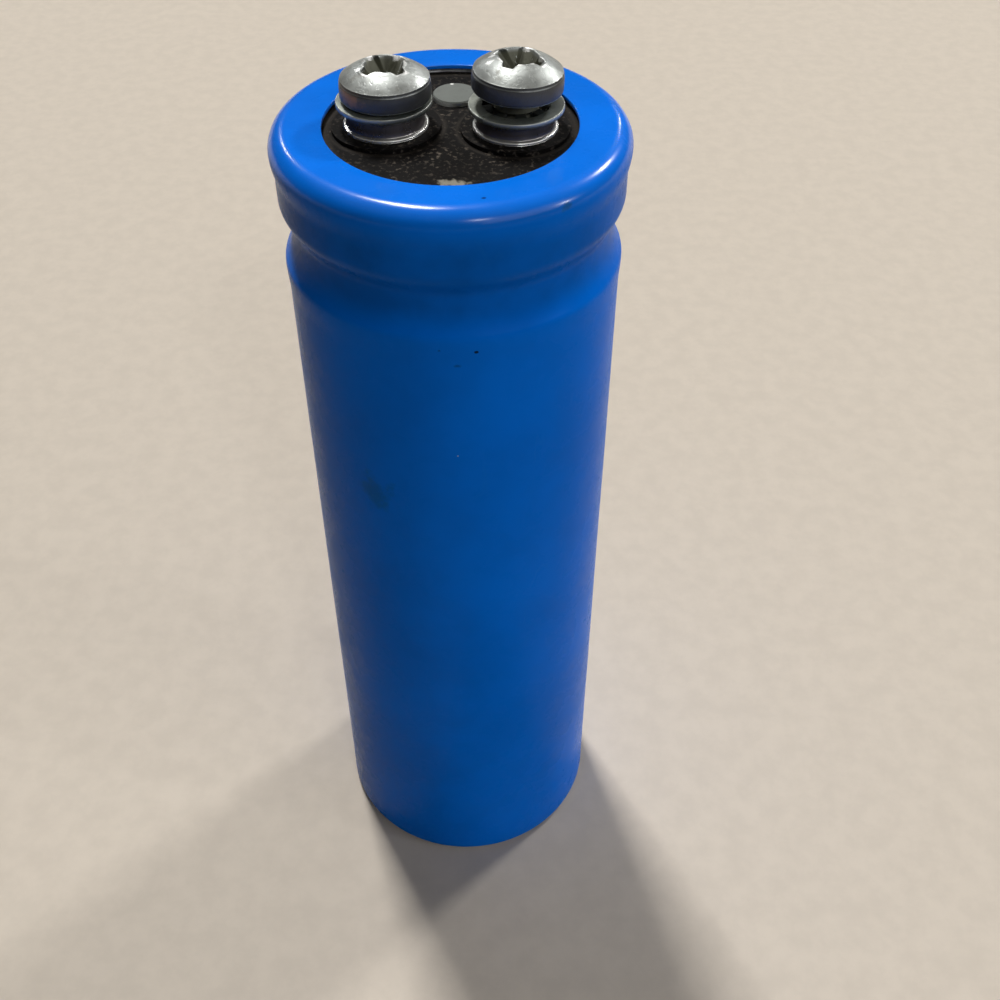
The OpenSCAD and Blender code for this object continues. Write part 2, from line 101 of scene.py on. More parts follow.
class Sheet:
    """A tree of shader nodes that is being drawn."""

    def __init__(self, tree: bpy.types.NodeTree) -> None:
        """Keep the tree that the nodes go into."""
        self.tree = tree

    def fill(self, node: bpy.types.Node, inputs: Dict[Any, Any]) -> bpy.types.Node:
        """Fill inputs of a node.

        Args:
            node: node to fill.
            inputs: values or sockets by input name or number; a socket is linked.

        Returns:
            The node.
        """
        for key, value in inputs.items():
            if isinstance(value, Socket):
                self.tree.links.new(value, node.inputs[key])
            else:
                node.inputs[key].default_value = value
        return node

    def add(self, kind: str, inputs: Optional[Dict[Any, Any]] = None, **props: Any) -> bpy.types.Node:
        """Add a node, set its properties and fill its inputs.

        Args:
            kind: type of the node, without the ShaderNode before it.
            inputs: values or sockets by input name or number.
            props: properties of the node.

        Returns:
            The node.
        """
        node = self.tree.nodes.new("ShaderNode" + kind)
        for key, value in props.items():
            setattr(node, key, value)
        return self.fill(node, inputs or {})

    def math(self, kind: str, a: Any, b: Any = 0.0, clamp: bool = False) -> Socket:
        """Add a math node on two values or sockets."""
        return self.add("Math", {0: a, 1: b}, operation=kind, use_clamp=clamp).outputs[0]

    def plus(self, a: Any, b: Any) -> Socket:
        """Add two values or sockets."""
        return self.math("ADD", a, b)

    def minus(self, a: Any, b: Any) -> Socket:
        """Take one value or socket from another."""
        return self.math("SUBTRACT", a, b)

    def times(self, a: Any, b: Any) -> Socket:
        """Multiply two values or sockets."""
        return self.math("MULTIPLY", a, b)

    def most(self, a: Any, b: Any) -> Socket:
        """Keep the higher of two values or sockets."""
        return self.math("MAXIMUM", a, b)

    def vector(self, kind: str, a: Any, b: Any = EVEN, output: str = "Vector") -> Socket:
        """Add a vector node on two vectors."""
        return self.add("VectorMath", {0: a, 1: b}, operation=kind).outputs[output]

    def height(self, vector: Any) -> Socket:
        """Z of a vector."""
        return self.add("SeparateXYZ", {0: vector}).outputs[2]

    def ramp(self, value: Any, low: Any, high: Any, out_low: float = 0.0, out_high: float = 1.0) -> Socket:
        """Map a value smoothly from one span to another, held at both ends.

        Args:
            value: socket to map.
            low, high: the span that is read.
            out_low, out_high: the span that comes out.

        Returns:
            The mapped socket.
        """
        node = self.add("MapRange", {0: value, 1: low, 2: high, 3: out_low, 4: out_high},
                        interpolation_type="SMOOTHSTEP")
        return node.outputs[0]

    def mix(self, share: Any, a: Any, b: Any) -> Socket:
        """Mix two colours; share 0 gives a, and 1 gives b."""
        a, b = (value if isinstance(value, Socket) else (*value, 1.0) for value in (a, b))
        return self.add("Mix", {0: share, 6: a, 7: b}, data_type="RGBA").outputs[2]

    def noise(self, vector: Any, scale: Any, detail: float = 3.0, rough: float = 0.55) -> Socket:
        """Add a noise texture over a vector."""
        node = self.add("TexNoise", {"Vector": vector, "Scale": scale, "Detail": detail, "Roughness": rough})
        return node.outputs[0]


Draw = Callable[[Sheet, Any], Socket]


class Effects:
    """Shader effects that several finishes share, each a node group that is built once.

    A vector and named values go into each group, and a mask comes out.
    """

    def __init__(self) -> None:
        """Build the groups, from their drawings and the starting values of their inputs."""
        self.speckle = self._group("Speckle", self._speckle, {
            "Scale": 400.0, "Amount": 0.4, "Softness": 0.08})
        self.spot = self._group("Spot", self._spot, {
            "Centre": (0.0, 0.0, 0.0), "Size": EVEN, "Raggedness": 0.5, "Scale": 900.0, "Softness": 0.3})
        self.scratches = self._group("Scratches", self._scratches, {
            "Stretch": EVEN, "Scale": 500.0, "Amount": 0.3})
        self.ring = self._group("Ring", self._ring, {
            "Centre X": 0.0, "Radius": 0.005, "Width": 0.001, "Scale": 900.0})
        self.worn_edge = self._group("Worn edge", self._worn_edge, {
            "Pointiness": 0.5, "Scale": 900.0, "Reach": 0.06})

    @staticmethod
    def _group(name: str, draw: Draw, inputs: Dict[str, Any]) -> bpy.types.NodeTree:
        """Build one group.

        Args:
            name: name of the group.
            draw: draws its nodes on a sheet, from its inputs, and returns the mask.
            inputs: starting value of each input after the vector.

        Returns:
            The group.
        """
        tree = bpy.data.node_groups.new(name, "ShaderNodeTree")
        tree.interface.new_socket("Vector", in_out="INPUT", socket_type="NodeSocketVector")
        for title, value in inputs.items():
            kind = "NodeSocketVector" if isinstance(value, tuple) else "NodeSocketFloat"
            socket = tree.interface.new_socket(title, in_out="INPUT", socket_type=kind)
            socket.default_value = value
        tree.interface.new_socket("Mask", in_out="OUTPUT", socket_type="NodeSocketFloat")
        start = tree.nodes.new("NodeGroupInput")
        end = tree.nodes.new("NodeGroupOutput")
        sheet = Sheet(tree)
        sheet.fill(end, {"Mask": draw(sheet, start.outputs)})
        return tree

    @staticmethod
    def _speckle(sheet: Sheet, given: Any) -> Socket:
        """Irregular flecks, from a cloud that is cut at a level: dust, pits or stains.

        Args:
            sheet: the group's sheet.
            given: the group's inputs.

        Returns:
            Socket with the mask.
        """
        cloud = sheet.noise(given["Vector"], given["Scale"], 5.0, 0.62)
        level = sheet.minus(1.0, given["Amount"])
        return sheet.ramp(cloud, level, sheet.plus(level, given["Softness"]))

    @staticmethod
    def _spot(sheet: Sheet, given: Any) -> Socket:
        """A mark round one place, with a ragged edge.

        Args:
            sheet: the group's sheet.
            given: the group's inputs.

        Returns:
            Socket with the mask.
        """
        away = sheet.vector("SUBTRACT", given["Vector"], given["Centre"])
        length = sheet.vector("LENGTH", sheet.vector("DIVIDE", away, given["Size"]), output="Value")
        cloud = sheet.noise(given["Vector"], given["Scale"], 4.0, 0.6)
        shift = sheet.times(sheet.minus(cloud, 0.5), given["Raggedness"])
        ragged = sheet.plus(length, sheet.times(shift, 2.0))
        return sheet.ramp(ragged, sheet.minus(1.0, given["Softness"]), 1.0, 1.0, 0.0)

    @staticmethod
    def _ring(sheet: Sheet, given: Any) -> Socket:
        """A ragged ring about a vertical axis, such as dust that gathers round a boss.

        Args:
            sheet: the group's sheet.
            given: the group's inputs.

        Returns:
            Socket with the mask.
        """
        parts = sheet.add("SeparateXYZ", {0: given["Vector"]}).outputs
        across = sheet.minus(parts[0], given["Centre X"])
        square = sheet.plus(sheet.times(across, across), sheet.times(parts[1], parts[1]))
        off = sheet.math("ABSOLUTE", sheet.minus(sheet.math("SQRT", square), given["Radius"]))
        cloud = sheet.noise(given["Vector"], given["Scale"], 5.0, 0.65)
        reach = sheet.times(sheet.times(given["Width"], cloud), 2.0)
        return sheet.math("SUBTRACT", 1.0, sheet.math("DIVIDE", off, reach), clamp=True)

    @staticmethod
    def _scratches(sheet: Sheet, given: Any) -> Socket:
        """Fine scratches: a stretched cloud whose thin ridges are kept.

        Args:
            sheet: the group's sheet.
            given: the group's inputs.

        Returns:
            Socket with the mask.
        """
        widest = 0.05
        pulled = sheet.vector("MULTIPLY", given["Vector"], given["Stretch"])
        cloud = sheet.noise(pulled, given["Scale"], 4.0, 0.5)
        ridge = sheet.math("ABSOLUTE", sheet.minus(cloud, 0.5))
        return sheet.ramp(ridge, 0.0, sheet.times(given["Amount"], widest), 1.0, 0.0)

    @staticmethod
    def _worn_edge(sheet: Sheet, given: Any) -> Socket:
        """Rubbed edges: sharp convex places, broken up by a cloud.

        Args:
            sheet: the group's sheet.
            given: the group's inputs.

        Returns:
            Socket with the mask.
        """
        convex, breakup = 0.52, 0.04
        cloud = sheet.noise(given["Vector"], given["Scale"], 3.0, 0.6)
        point = sheet.plus(given["Pointiness"], sheet.times(sheet.minus(cloud, 0.5), breakup))
        return sheet.ramp(point, convex, sheet.plus(convex, given["Reach"]))


EFFECTS = Effects()


# Finishes


@dataclass(frozen=True)
class Mark:
    """A stain, a speck, or a painted highlight, reflection or shade at one place of a surface.

    Fields: the place in millimetres, its half sizes along X, Y and Z, the colour as a picture shows
    it, its strength, how ragged its edge is, how soft, and how fine the ragged edge is.
    """

    place: Place
    size: Place
    colour: Colour
    strength: float = 1.0
    raggedness: float = 0.6
    softness: float = 0.5
    scale: float = 900.0


@dataclass(frozen=True)
class Noise:
    """A raw noise: how fine it is, its layers of detail and their roughness."""

    scale: float
    detail: float = 3.0
    rough: float = 0.55


@dataclass(frozen=True)
class Cloud(Noise):
    """A soft mottle: a noise, the span of it that is read, and the span that comes out."""

    low: float = 0.3
    high: float = 0.7
    out_low: float = 0.0
    out_high: float = 1.0


@dataclass(frozen=True)
class Flecks:
    """Scattered flecks: how fine they are, how much they cover, their softness and their strength."""

    scale: float
    amount: float
    softness: float
    strength: float


@dataclass(frozen=True)
class Scratches:
    """Fine lines: how much they are drawn out each way, how fine they are and how many."""

    stretch: Place
    scale: float
    amount: float


def around(angle: float, radius: float, height: float) -> Place:
    """Place on a round wall, from its angle about the axis in degrees, in millimetres."""
    turn = math.radians(angle)
    return radius * math.cos(turn), radius * math.sin(turn), height


class Surface(Sheet):
    """Nodes of one material, with its shader and the coordinates of the object that wears it."""

    def __init__(self, name: str) -> None:
        """Make the material and its bare shader.

        Args:
            name: name of the material.
        """
        self.material = bpy.data.materials.new(name)
        self.material.use_nodes = True
        self.material.node_tree.nodes.clear()
        super().__init__(self.material.node_tree)
        self.shader = self.add("BsdfPrincipled")
        self.add("OutputMaterial", {"Surface": self.shader.outputs[0]})
        self.place = self.add("TexCoord").outputs["Object"]

    def effect(self, tree: bpy.types.NodeTree, inputs: Dict[str, Any]) -> Socket:
        """Place a shared effect and return its mask."""
        return self.add("Group", {"Vector": self.place, **inputs}, node_tree=tree).outputs["Mask"]

    def raw(self, noise: Noise) -> Socket:
        """Draw a noise over the object."""
        return self.noise(self.place, noise.scale, noise.detail, noise.rough)

    def cloud(self, cloud: Cloud) -> Socket:
        """Draw a soft mottle over the object."""
        return self.ramp(self.raw(cloud), cloud.low, cloud.high, cloud.out_low, cloud.out_high)

    def flecks(self, flecks: Flecks) -> Socket:
        """Draw scattered flecks, at full strength."""
        return self.effect(EFFECTS.speckle, {"Scale": flecks.scale, "Amount": flecks.amount,
                                             "Softness": flecks.softness})

    def scratches(self, lines: Scratches) -> Socket:
        """Draw fine lines."""
        return self.effect(EFFECTS.scratches, {"Stretch": lines.stretch, "Scale": lines.scale,
                                               "Amount": lines.amount})

    def upright(self) -> Socket:
        """Mask of the sides that stand upright, which fades as they lie down; through it the metals paint
        shade on their sides and the vent's rubber paints light on its side.
        """
        facing = self.height(self.add("TexCoord").outputs["Normal"])
        return self.ramp(self.math("ABSOLUTE", facing), 0.25, 0.6, 0.9, 0.0)

    def lay(self, base: Any, mask: Any, strength: float, colour: Colour) -> Socket:
        """Lay a colour over another where a mask shows it, at a strength."""
        return self.mix(self.times(mask, strength), base, linear(colour))

    def marked(self, base: Any, marks: Sequence[Mark]) -> Socket:
        """Lay marks over a colour.

        Args:
            base: colour or socket under the marks.
            marks: what is laid on it, in order.

        Returns:
            Socket with the marked colour.
        """
        for mark in marks:
            mask = self.effect(EFFECTS.spot, {
                "Centre": tuple(value * MM for value in mark.place),
                "Size": tuple(value * MM for value in mark.size), "Raggedness": mark.raggedness,
                "Scale": mark.scale, "Softness": mark.softness})
            base = self.lay(base, mask, mark.strength, mark.colour)
        return base

    def dress(self, base: Socket, rough: Socket, height: Socket, relief: float,
              fixed: Dict[str, Any]) -> None:
        """Feed the shader.

        Args:
            base: socket with the colour.
            rough: socket with the roughness.
            height: socket with the relief, 0 to 1.
            relief: height of the relief in metres.
            fixed: the shader's other inputs.
        """
        bump = self.add("Bump", {"Height": height, "Strength": 1.0, "Distance": relief})
        self.fill(self.shader, {"Base Color": base, "Roughness": rough, "Normal": bump.outputs[0], **fixed})


@dataclass(frozen=True)
class Finish:
    """Surface of one material; each kind of finish draws its own nodes.

    Fields: the material's name, its colour as a picture shows it, and the marks on it.
    """

    name: str
    colour: Colour
    marks: Tuple[Mark, ...] = ()

    def build(self) -> bpy.types.Material:
        """Make the material.

        Returns:
            The material with its nodes drawn.
        """
        surface = Surface(self.name)
        self.draw(surface)
        return surface.material

    def draw(self, surface: Surface) -> None:
        """Draw the nodes of the finish; each kind replaces this."""
        raise NotImplementedError


@dataclass(frozen=True)
class ShrinkFilm(Finish):
    """Glossy coloured film, shrunk on: a little uneven, faintly rubbed, and below its rim a band of painted
    shade with some soiling.

    Fields: its clouds and how dark and pale they go, its scuffs, where they show and their colour,
    its dust, the band of painted shade with some soiling below the rim, the heights in metres between
    which that band lies and above which the coat is glossy, how far the band fades out, the shader's
    levels, and its ripples.
    """

    clouds: Cloud = Cloud(60.0, 4.0)
    deep: float = 0.89
    pale: float = 1.05
    scuffs: Scratches = Scratches((1.0, 1.0, 0.25), 210.0, 0.35)
    scuffed: Cloud = Cloud(95.0, low=0.56)
    scuff_strength: float = 0.05
    scuff_dull: float = 0.1
    scuff_colour: Colour = (60, 150, 230)
    dust: Flecks = Flecks(1500.0, 0.24, 0.05, 0.22)
    dust_colour: Colour = (120, 165, 210)
    # band below the rim: painted shade with some soiling
    shade_and_dirt: Cloud = Cloud(170.0, out_low=0.26, out_high=0.42)
    shade_and_dirt_colour: Colour = (6, 44, 74)
    shade_and_dirt_from: Point = (0.0915, 0.0945)
    shade_and_dirt_to: Point = (0.1, 0.1035)
    roughness: Cloud = Cloud(240.0, 5.0, high=0.75, out_low=0.24, out_high=0.34)
    refraction: float = 1.5
    shine: float = 0.03
    coat_from: Point = (0.1033, 0.1042)
    coat: Cloud = Cloud(180.0, 4.0, high=0.6, out_low=0.5, out_high=0.8)
    coat_rough: float = 0.2
    ripple: Noise = Noise(150.0, 2.0, 0.4)
    grain: Noise = Noise(2600.0, 2.0)
    grain_share: float = 0.03
    relief: float = 0.000022

    def draw(self, surface: Surface) -> None:
        """Draw the film's clouds, scuffs, dust, its band of painted shade with some soiling, marks and
        ripples.

        Args:
            surface: the material's nodes.
        """
        base = surface.mix(surface.cloud(self.clouds), linear(self.colour, self.deep),
                           linear(self.colour, self.pale))
        rubbed = surface.times(surface.scratches(self.scuffs), surface.cloud(self.scuffed))
        base = surface.lay(base, rubbed, self.scuff_strength, self.scuff_colour)
        base = surface.lay(base, surface.flecks(self.dust), self.dust.strength, self.dust_colour)
        height = surface.height(surface.place)
        # A darker band over the groove and the head's side: painted shade with some soiling.
        above = surface.ramp(height, *self.shade_and_dirt_from)
        below = surface.ramp(height, *self.shade_and_dirt_to, 1.0, 0.0)
        shaded_and_dirty = surface.times(surface.times(above, below), surface.cloud(self.shade_and_dirt))
        base = surface.mix(shaded_and_dirty, base, linear(self.shade_and_dirt_colour))
        base = surface.marked(base, self.marks)
        rough = surface.plus(surface.cloud(self.roughness), surface.times(rubbed, self.scuff_dull))
        coat = surface.times(surface.ramp(height, *self.coat_from), surface.cloud(self.coat))
        grain = surface.times(surface.raw(self.grain), self.grain_share)
        uneven = surface.plus(surface.raw(self.ripple), grain)
        surface.dress(base, rough, uneven, self.relief, {
            "IOR": self.refraction, "Specular IOR Level": self.shine, "Coat Weight": coat,
            "Coat Roughness": self.coat_rough})


@dataclass(frozen=True)
class Moulding(Finish):
    """Black moulded resin under years of dust, thicker round its bosses and along its rim.

    Fields: the dust's flecks, colour, least share and drifts, its rings as centre X, radius, width
    and strength, how dark and light the resin goes, the shader's levels, and the resin's pits.
    """

    dust: Flecks = Flecks(1900.0, 0.47, 0.12, 0.7)
    dust_colour: Colour = (128, 119, 108)
    dust_least: float = 0.24
    drifts: Cloud = Cloud(260.0, 4.0, 0.6, 0.44, 0.72)
    rings: Tuple[Tuple[float, float, float, float], ...] = ()
    ring_scale: float = 1300.0
    mottle: Noise = Noise(520.0, 6.0, 0.7)
    mottle_span: Point = (0.32, 0.72)
    dark: float = 0.5
    light: float = 1.7
    rough_low: float = 0.5
    rough_high: float = 0.68
    dust_dull: float = 0.25
    shine: float = 0.08
    pits: Noise = Noise(1900.0, 4.0, 0.6)
    pit_share: float = 0.5
    mottle_share: float = 0.8
    relief: float = 0.00005

    def draw(self, surface: Surface) -> None:
        """Draw the resin's mottle, its dust and its pits.

        Args:
            surface: the material's nodes.
        """
        mottle = surface.raw(self.mottle)
        base = surface.mix(surface.ramp(mottle, *self.mottle_span), linear(self.colour, self.dark),
                           linear(self.colour, self.light))
        drifts = surface.plus(surface.cloud(self.drifts), self.dust_least)
        share = surface.times(surface.flecks(self.dust), drifts)
        for centre_x, radius, width, strength in self.rings:
            ring = surface.effect(EFFECTS.ring, {"Centre X": centre_x * MM, "Radius": radius * MM,
                                                 "Width": width * MM, "Scale": self.ring_scale})
            share = surface.most(share, surface.times(ring, strength))
        base = surface.lay(base, share, self.dust.strength, self.dust_colour)
        base = surface.marked(base, self.marks)
        rough = surface.ramp(mottle, 0.3, 0.7, self.rough_low, self.rough_high)
        rough = surface.plus(rough, surface.times(share, self.dust_dull))
        pits = surface.times(surface.raw(self.pits), self.pit_share)
        height = surface.plus(surface.times(mottle, self.mottle_share), pits)
        height = surface.plus(height, share)
        surface.dress(base, rough, height, self.relief, {"Specular IOR Level": self.shine})


@dataclass(frozen=True)
class PlatedMetal(Finish):
    """Bare or plated metal, dulled by handling: mottled, scratched and bright on its edges.

    Fields: the tarnish's colour and flecks, the span of its roughness, how metallic it is, its
    scratches, the height of its relief in metres, the colour of painted shade on its upright sides, of
    painted shade with a grimy tint in hollows and under heads and of painted highlights on polished
    edges, how dark and bright the metal goes, its clouds and spots, and how much tarnish, that painted
    shade and rubbing change the roughness.
    """

    tarnish: Colour = (96, 92, 84)
    stains: Flecks = Flecks(700.0, 0.45, 0.18, 0.55)
    rough_low: float = 0.2
    rough_high: float = 0.42
    metal: float = 0.8
    scratches: Scratches = Scratches(EVEN, 900.0, 0.6)
    scratch_depth: float = 0.3
    relief: float = 0.00002
    # colour of painted shade on upright sides
    side: Optional[Colour] = None
    shade_and_grime_colour: Colour = (92, 92, 80)
    shade_and_grime_strength: float = 0.85
    polish_and_highlight_colour: Colour = (236, 236, 232)
    polish_and_highlight_strength: float = 0.9
    dull: float = 0.72
    spot: float = 0.45
    bright: float = 1.35
    bright_strength: float = 0.7
    clouds: Noise = Noise(520.0, 5.0, 0.62)
    cloud_span: Point = (0.34, 0.66)
    spots: Cloud = Cloud(2600.0, 3.0, 0.6, 0.56, 0.72, out_high=0.45)
    tarnish_dull: float = 0.12
    rubbed_smooth: float = 0.12
    shade_and_grime_dull: float = 0.2

    def draw(self, surface: Surface) -> None:
        """Draw the metal's mottle, tarnish, painted shade on its sides and hollows, scratches, rubbed edges
        and painted highlights.

        Args:
            surface: the material's nodes.
        """
        clouds = surface.raw(self.clouds)
        base = surface.mix(surface.ramp(clouds, *self.cloud_span), linear(self.colour, self.dull),
                           linear(self.colour))
        base = surface.mix(surface.cloud(self.spots), base, linear(self.colour, self.spot))
        tarnish = surface.flecks(self.stains)
        base = surface.lay(base, tarnish, self.stains.strength, self.tarnish)
        # Painted shade: upright sides take the darker side colour.
        if self.side is not None:
            base = surface.mix(surface.upright(), base, linear(self.side))
        # Painted shade with a grimy tint: a painted share darkens recesses, threads and teeth under the
        # heads.
        shade_and_grime = surface.add("Attribute", attribute_name=SHADE_AND_GRIME).outputs["Fac"]
        # Painted highlights: another painted share brightens burrs, washer rims and the posts' feet.
        polish_and_highlight = surface.add("Attribute", attribute_name=POLISH_AND_HIGHLIGHT).outputs["Fac"]
        base = surface.lay(base, shade_and_grime, self.shade_and_grime_strength, self.shade_and_grime_colour)
        base = surface.lay(base, polish_and_highlight, self.polish_and_highlight_strength, self.polish_and_highlight_colour)
        pointiness = surface.add("NewGeometry").outputs["Pointiness"]
        rubbed = surface.effect(EFFECTS.worn_edge, {"Pointiness": pointiness})
        share = surface.times(rubbed, self.bright_strength)
        base = surface.mix(share, base, linear(self.colour, self.bright))
        base = surface.marked(base, self.marks)
        rough = surface.ramp(clouds, 0.3, 0.7, self.rough_low, self.rough_high)
        rough = surface.plus(rough, surface.times(tarnish, self.tarnish_dull))
        rough = surface.minus(rough, surface.times(rubbed, self.rubbed_smooth))
        rough = surface.plus(rough, surface.times(shade_and_grime, self.shade_and_grime_dull))
        scratches = surface.times(surface.scratches(self.scratches), self.scratch_depth)
        surface.dress(base, rough, surface.minus(clouds, scratches), self.relief, {"Metallic": self.metal})


@dataclass(frozen=True)
class MattStock(Finish):
    """Rubber, paper or pitch: matt, with a fine grain and faint stains.

    Fields: how fine the grain is and how much it is drawn out each way, the height of its relief in
    metres, the roughness and how far it goes down and up from there, the stains' colour and flecks,
    how dark the grain goes, and the colour of painted light on the upright sides.
    """

    grain: float = 1400.0
    stretch: Place = EVEN
    relief: float = 0.00004
    rough: float = 0.7
    smoother: float = 0.08
    rougher: float = 0.1
    stain: Colour = (90, 84, 76)
    stains: Flecks = Flecks(520.0, 0.42, 0.2, 0.4)
    dark: float = 0.82
    # colour of painted light on upright sides
    side: Optional[Colour] = None

    def draw(self, surface: Surface) -> None:
        """Draw the grain, the stains and the painted light on the upright sides.

        Args:
            surface: the material's nodes.
        """
        pulled = surface.vector("MULTIPLY", surface.place, self.stretch)
        grain = surface.noise(pulled, self.grain, 5.0, 0.65)
        base = surface.mix(surface.ramp(grain, 0.3, 0.7), linear(self.colour, self.dark),
                           linear(self.colour))
        base = surface.lay(base, surface.flecks(self.stains), self.stains.strength, self.stain)
        # Painted light: upright sides take the lighter side colour.
        if self.side is not None:
            base = surface.mix(surface.upright(), base, linear(self.side))
        base = surface.marked(base, self.marks)
        rough = surface.ramp(grain, 0.3, 0.7, self.rough - self.smoother, self.rough + self.rougher)
        surface.dress(base, rough, grain, self.relief, {})


# Meshes


class Outline(Enum):
    """Whether a turned piece's outline closes on itself."""

    OPEN = "open"
    CLOSED = "closed"


def make_piece(name: str, mesh: Mesh, finish: bpy.types.Material, node: str, crease_deg: float,
               painted: Optional[Dict[str, np.ndarray]] = None) -> None:
    """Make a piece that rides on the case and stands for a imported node.

    Args:
        name: name of the piece.
        mesh: its corners in millimetres, one row each, and the corner numbers of its faces.
        finish: its material.
        node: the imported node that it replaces.
        crease_deg: edges sharper than this stay sharp.
        painted: shares from 0 to 1 at each corner, under the names that the material reads.
    """
    points, faces = mesh
    data = bpy.data.meshes.new(name)
    data.from_pydata((points * MM).tolist(), [], faces)
    data.validate()
    data.update()
    data.shade_smooth()
    data.set_sharp_from_angle(angle=math.radians(crease_deg))
    data.materials.append(finish)
    piece = bpy.data.objects.new(name, data)
    bpy.context.scene.collection.objects.link(piece)
    for title, shares in (painted or {}).items():
        layer = data.attributes.new(title, "FLOAT", "POINT")
        layer.data.foreach_set("value", shares.astype(np.float32))
    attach(piece, ROOT)
    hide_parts(node)
    LOG.info("%s: %d faces", name, len(data.polygons))


def grid(starts: Sequence[int], columns: int, ring: bool = True, flip: bool = False) -> Faces:
    """Faces between rows of corners.

    Args:
        starts: number of the first corner of each row, in order.
        columns: corners in a row.
        ring: whether each row closes on itself.
        flip: whether the faces look the other way.

    Returns:
        The faces, row by row.
    """
    faces: Faces = []
    for near, far in zip(starts, starts[1:]):
        for j in range(columns if ring else columns - 1):
            k = (j + 1) % columns
            if flip:
                faces.append((near + j, far + j, far + k, near + k))
            else:
                faces.append((near + j, near + k, far + k, far + j))
    return faces


def turned(outline: Sequence[Point], segments: int, kind: Outline, wobble: Optional[Wobble] = None) -> Mesh:
    """Turn an outline of (radius, height) points about the axis.

    Args:
        outline: points of the outline; it runs with the material on its left.
        segments: steps round the axis.
        kind: whether the outline's last point joins its first.
        wobble: optional change of the radius, from radius, angle and height.

    Returns:
        The corners and the faces.
    """
    line = np.array(outline, float)
    turn = np.linspace(0, 2 * math.pi, segments, endpoint=False)
    radius = np.repeat(line[:, 0][:, None], segments, 1)
    height = np.repeat(line[:, 1][:, None], segments, 1)
    angle = np.repeat(turn[None, :], len(line), 0)
    if wobble is not None:
        radius = np.where(radius > 0, radius + wobble(radius, angle, height), radius)
    points = np.stack([radius * np.cos(angle), radius * np.sin(angle), height], -1).reshape(-1, 3)
    starts = [i * segments for i in range(len(line))]
    if kind is Outline.CLOSED:
        starts.append(0)
    return points, grid(starts, segments)


def arc(cx: float, cz: float, radius: float, start: float, stop: float, steps: int) -> List[Point]:
    """Points of an arc between two angles in degrees."""
    turns = [math.radians(start + (stop - start) * i / steps) for i in range(steps + 1)]
    return [(cx + radius * math.cos(t), cz + radius * math.sin(t)) for t in turns]


def rounded_bar(left: float, right: float, half_t: float, soft: float, steps: int) -> List[Point]:
    """Closed outline of a flat bar with rounded corners.

    Args:
        left, right: its two ends.
        half_t: half its thickness.
        soft: how far from a corner its rounding starts.
        steps: steps round each corner.

    Returns:
        The points of the outline.
    """
    corners = [(left, -half_t), (right, -half_t), (right, half_t), (left, half_t)]
    points: List[Point] = []
    for i, corner in enumerate(corners):
        here = np.array(corner)
        before = np.array(corners[i - 1]) - here
        after = np.array(corners[(i + 1) % len(corners)]) - here
        start = here + before / np.linalg.norm(before) * soft
        stop = here + after / np.linalg.norm(after) * soft
        for j in range(steps + 1):
            t = j / steps
            p = (1 - t) ** 2 * start + 2 * t * (1 - t) * here + t ** 2 * stop
            points.append((float(p[0]), float(p[1])))
    return points


class Unevenness:
    """Smooth random relief that closes round the axis, the same on every run."""

    def __init__(self, seed: int, waves: int, rounds: int, height_span: float) -> None:
        """Draw the waves.

        Args:
            seed: start of the random draws.
            waves: how many waves are added up.
            rounds: most crests round the axis.
            height_span: shortest wave along the axis, in millimetres.
        """
        draw = np.random.default_rng(seed)
        self.rounds = draw.integers(0, rounds + 1, waves)
        self.rises = draw.uniform(-1, 1, waves) * 2 * math.pi / height_span
        self.phases = draw.uniform(0, 2 * math.pi, waves)
        self.sizes = draw.uniform(0.4, 1.0, waves)

    def at(self, angle: np.ndarray, height: np.ndarray) -> np.ndarray:
        """Read the relief.

        Args:
            angle, height: the places that are read.

        Returns:
            The relief at each place, -1 to 1.
        """
        total = np.zeros_like(angle)
        for count, rise, phase, size in zip(self.rounds, self.rises, self.phases, self.sizes):
            total += size * np.cos(count * angle + rise * height + phase)
        return total / self.sizes.sum()


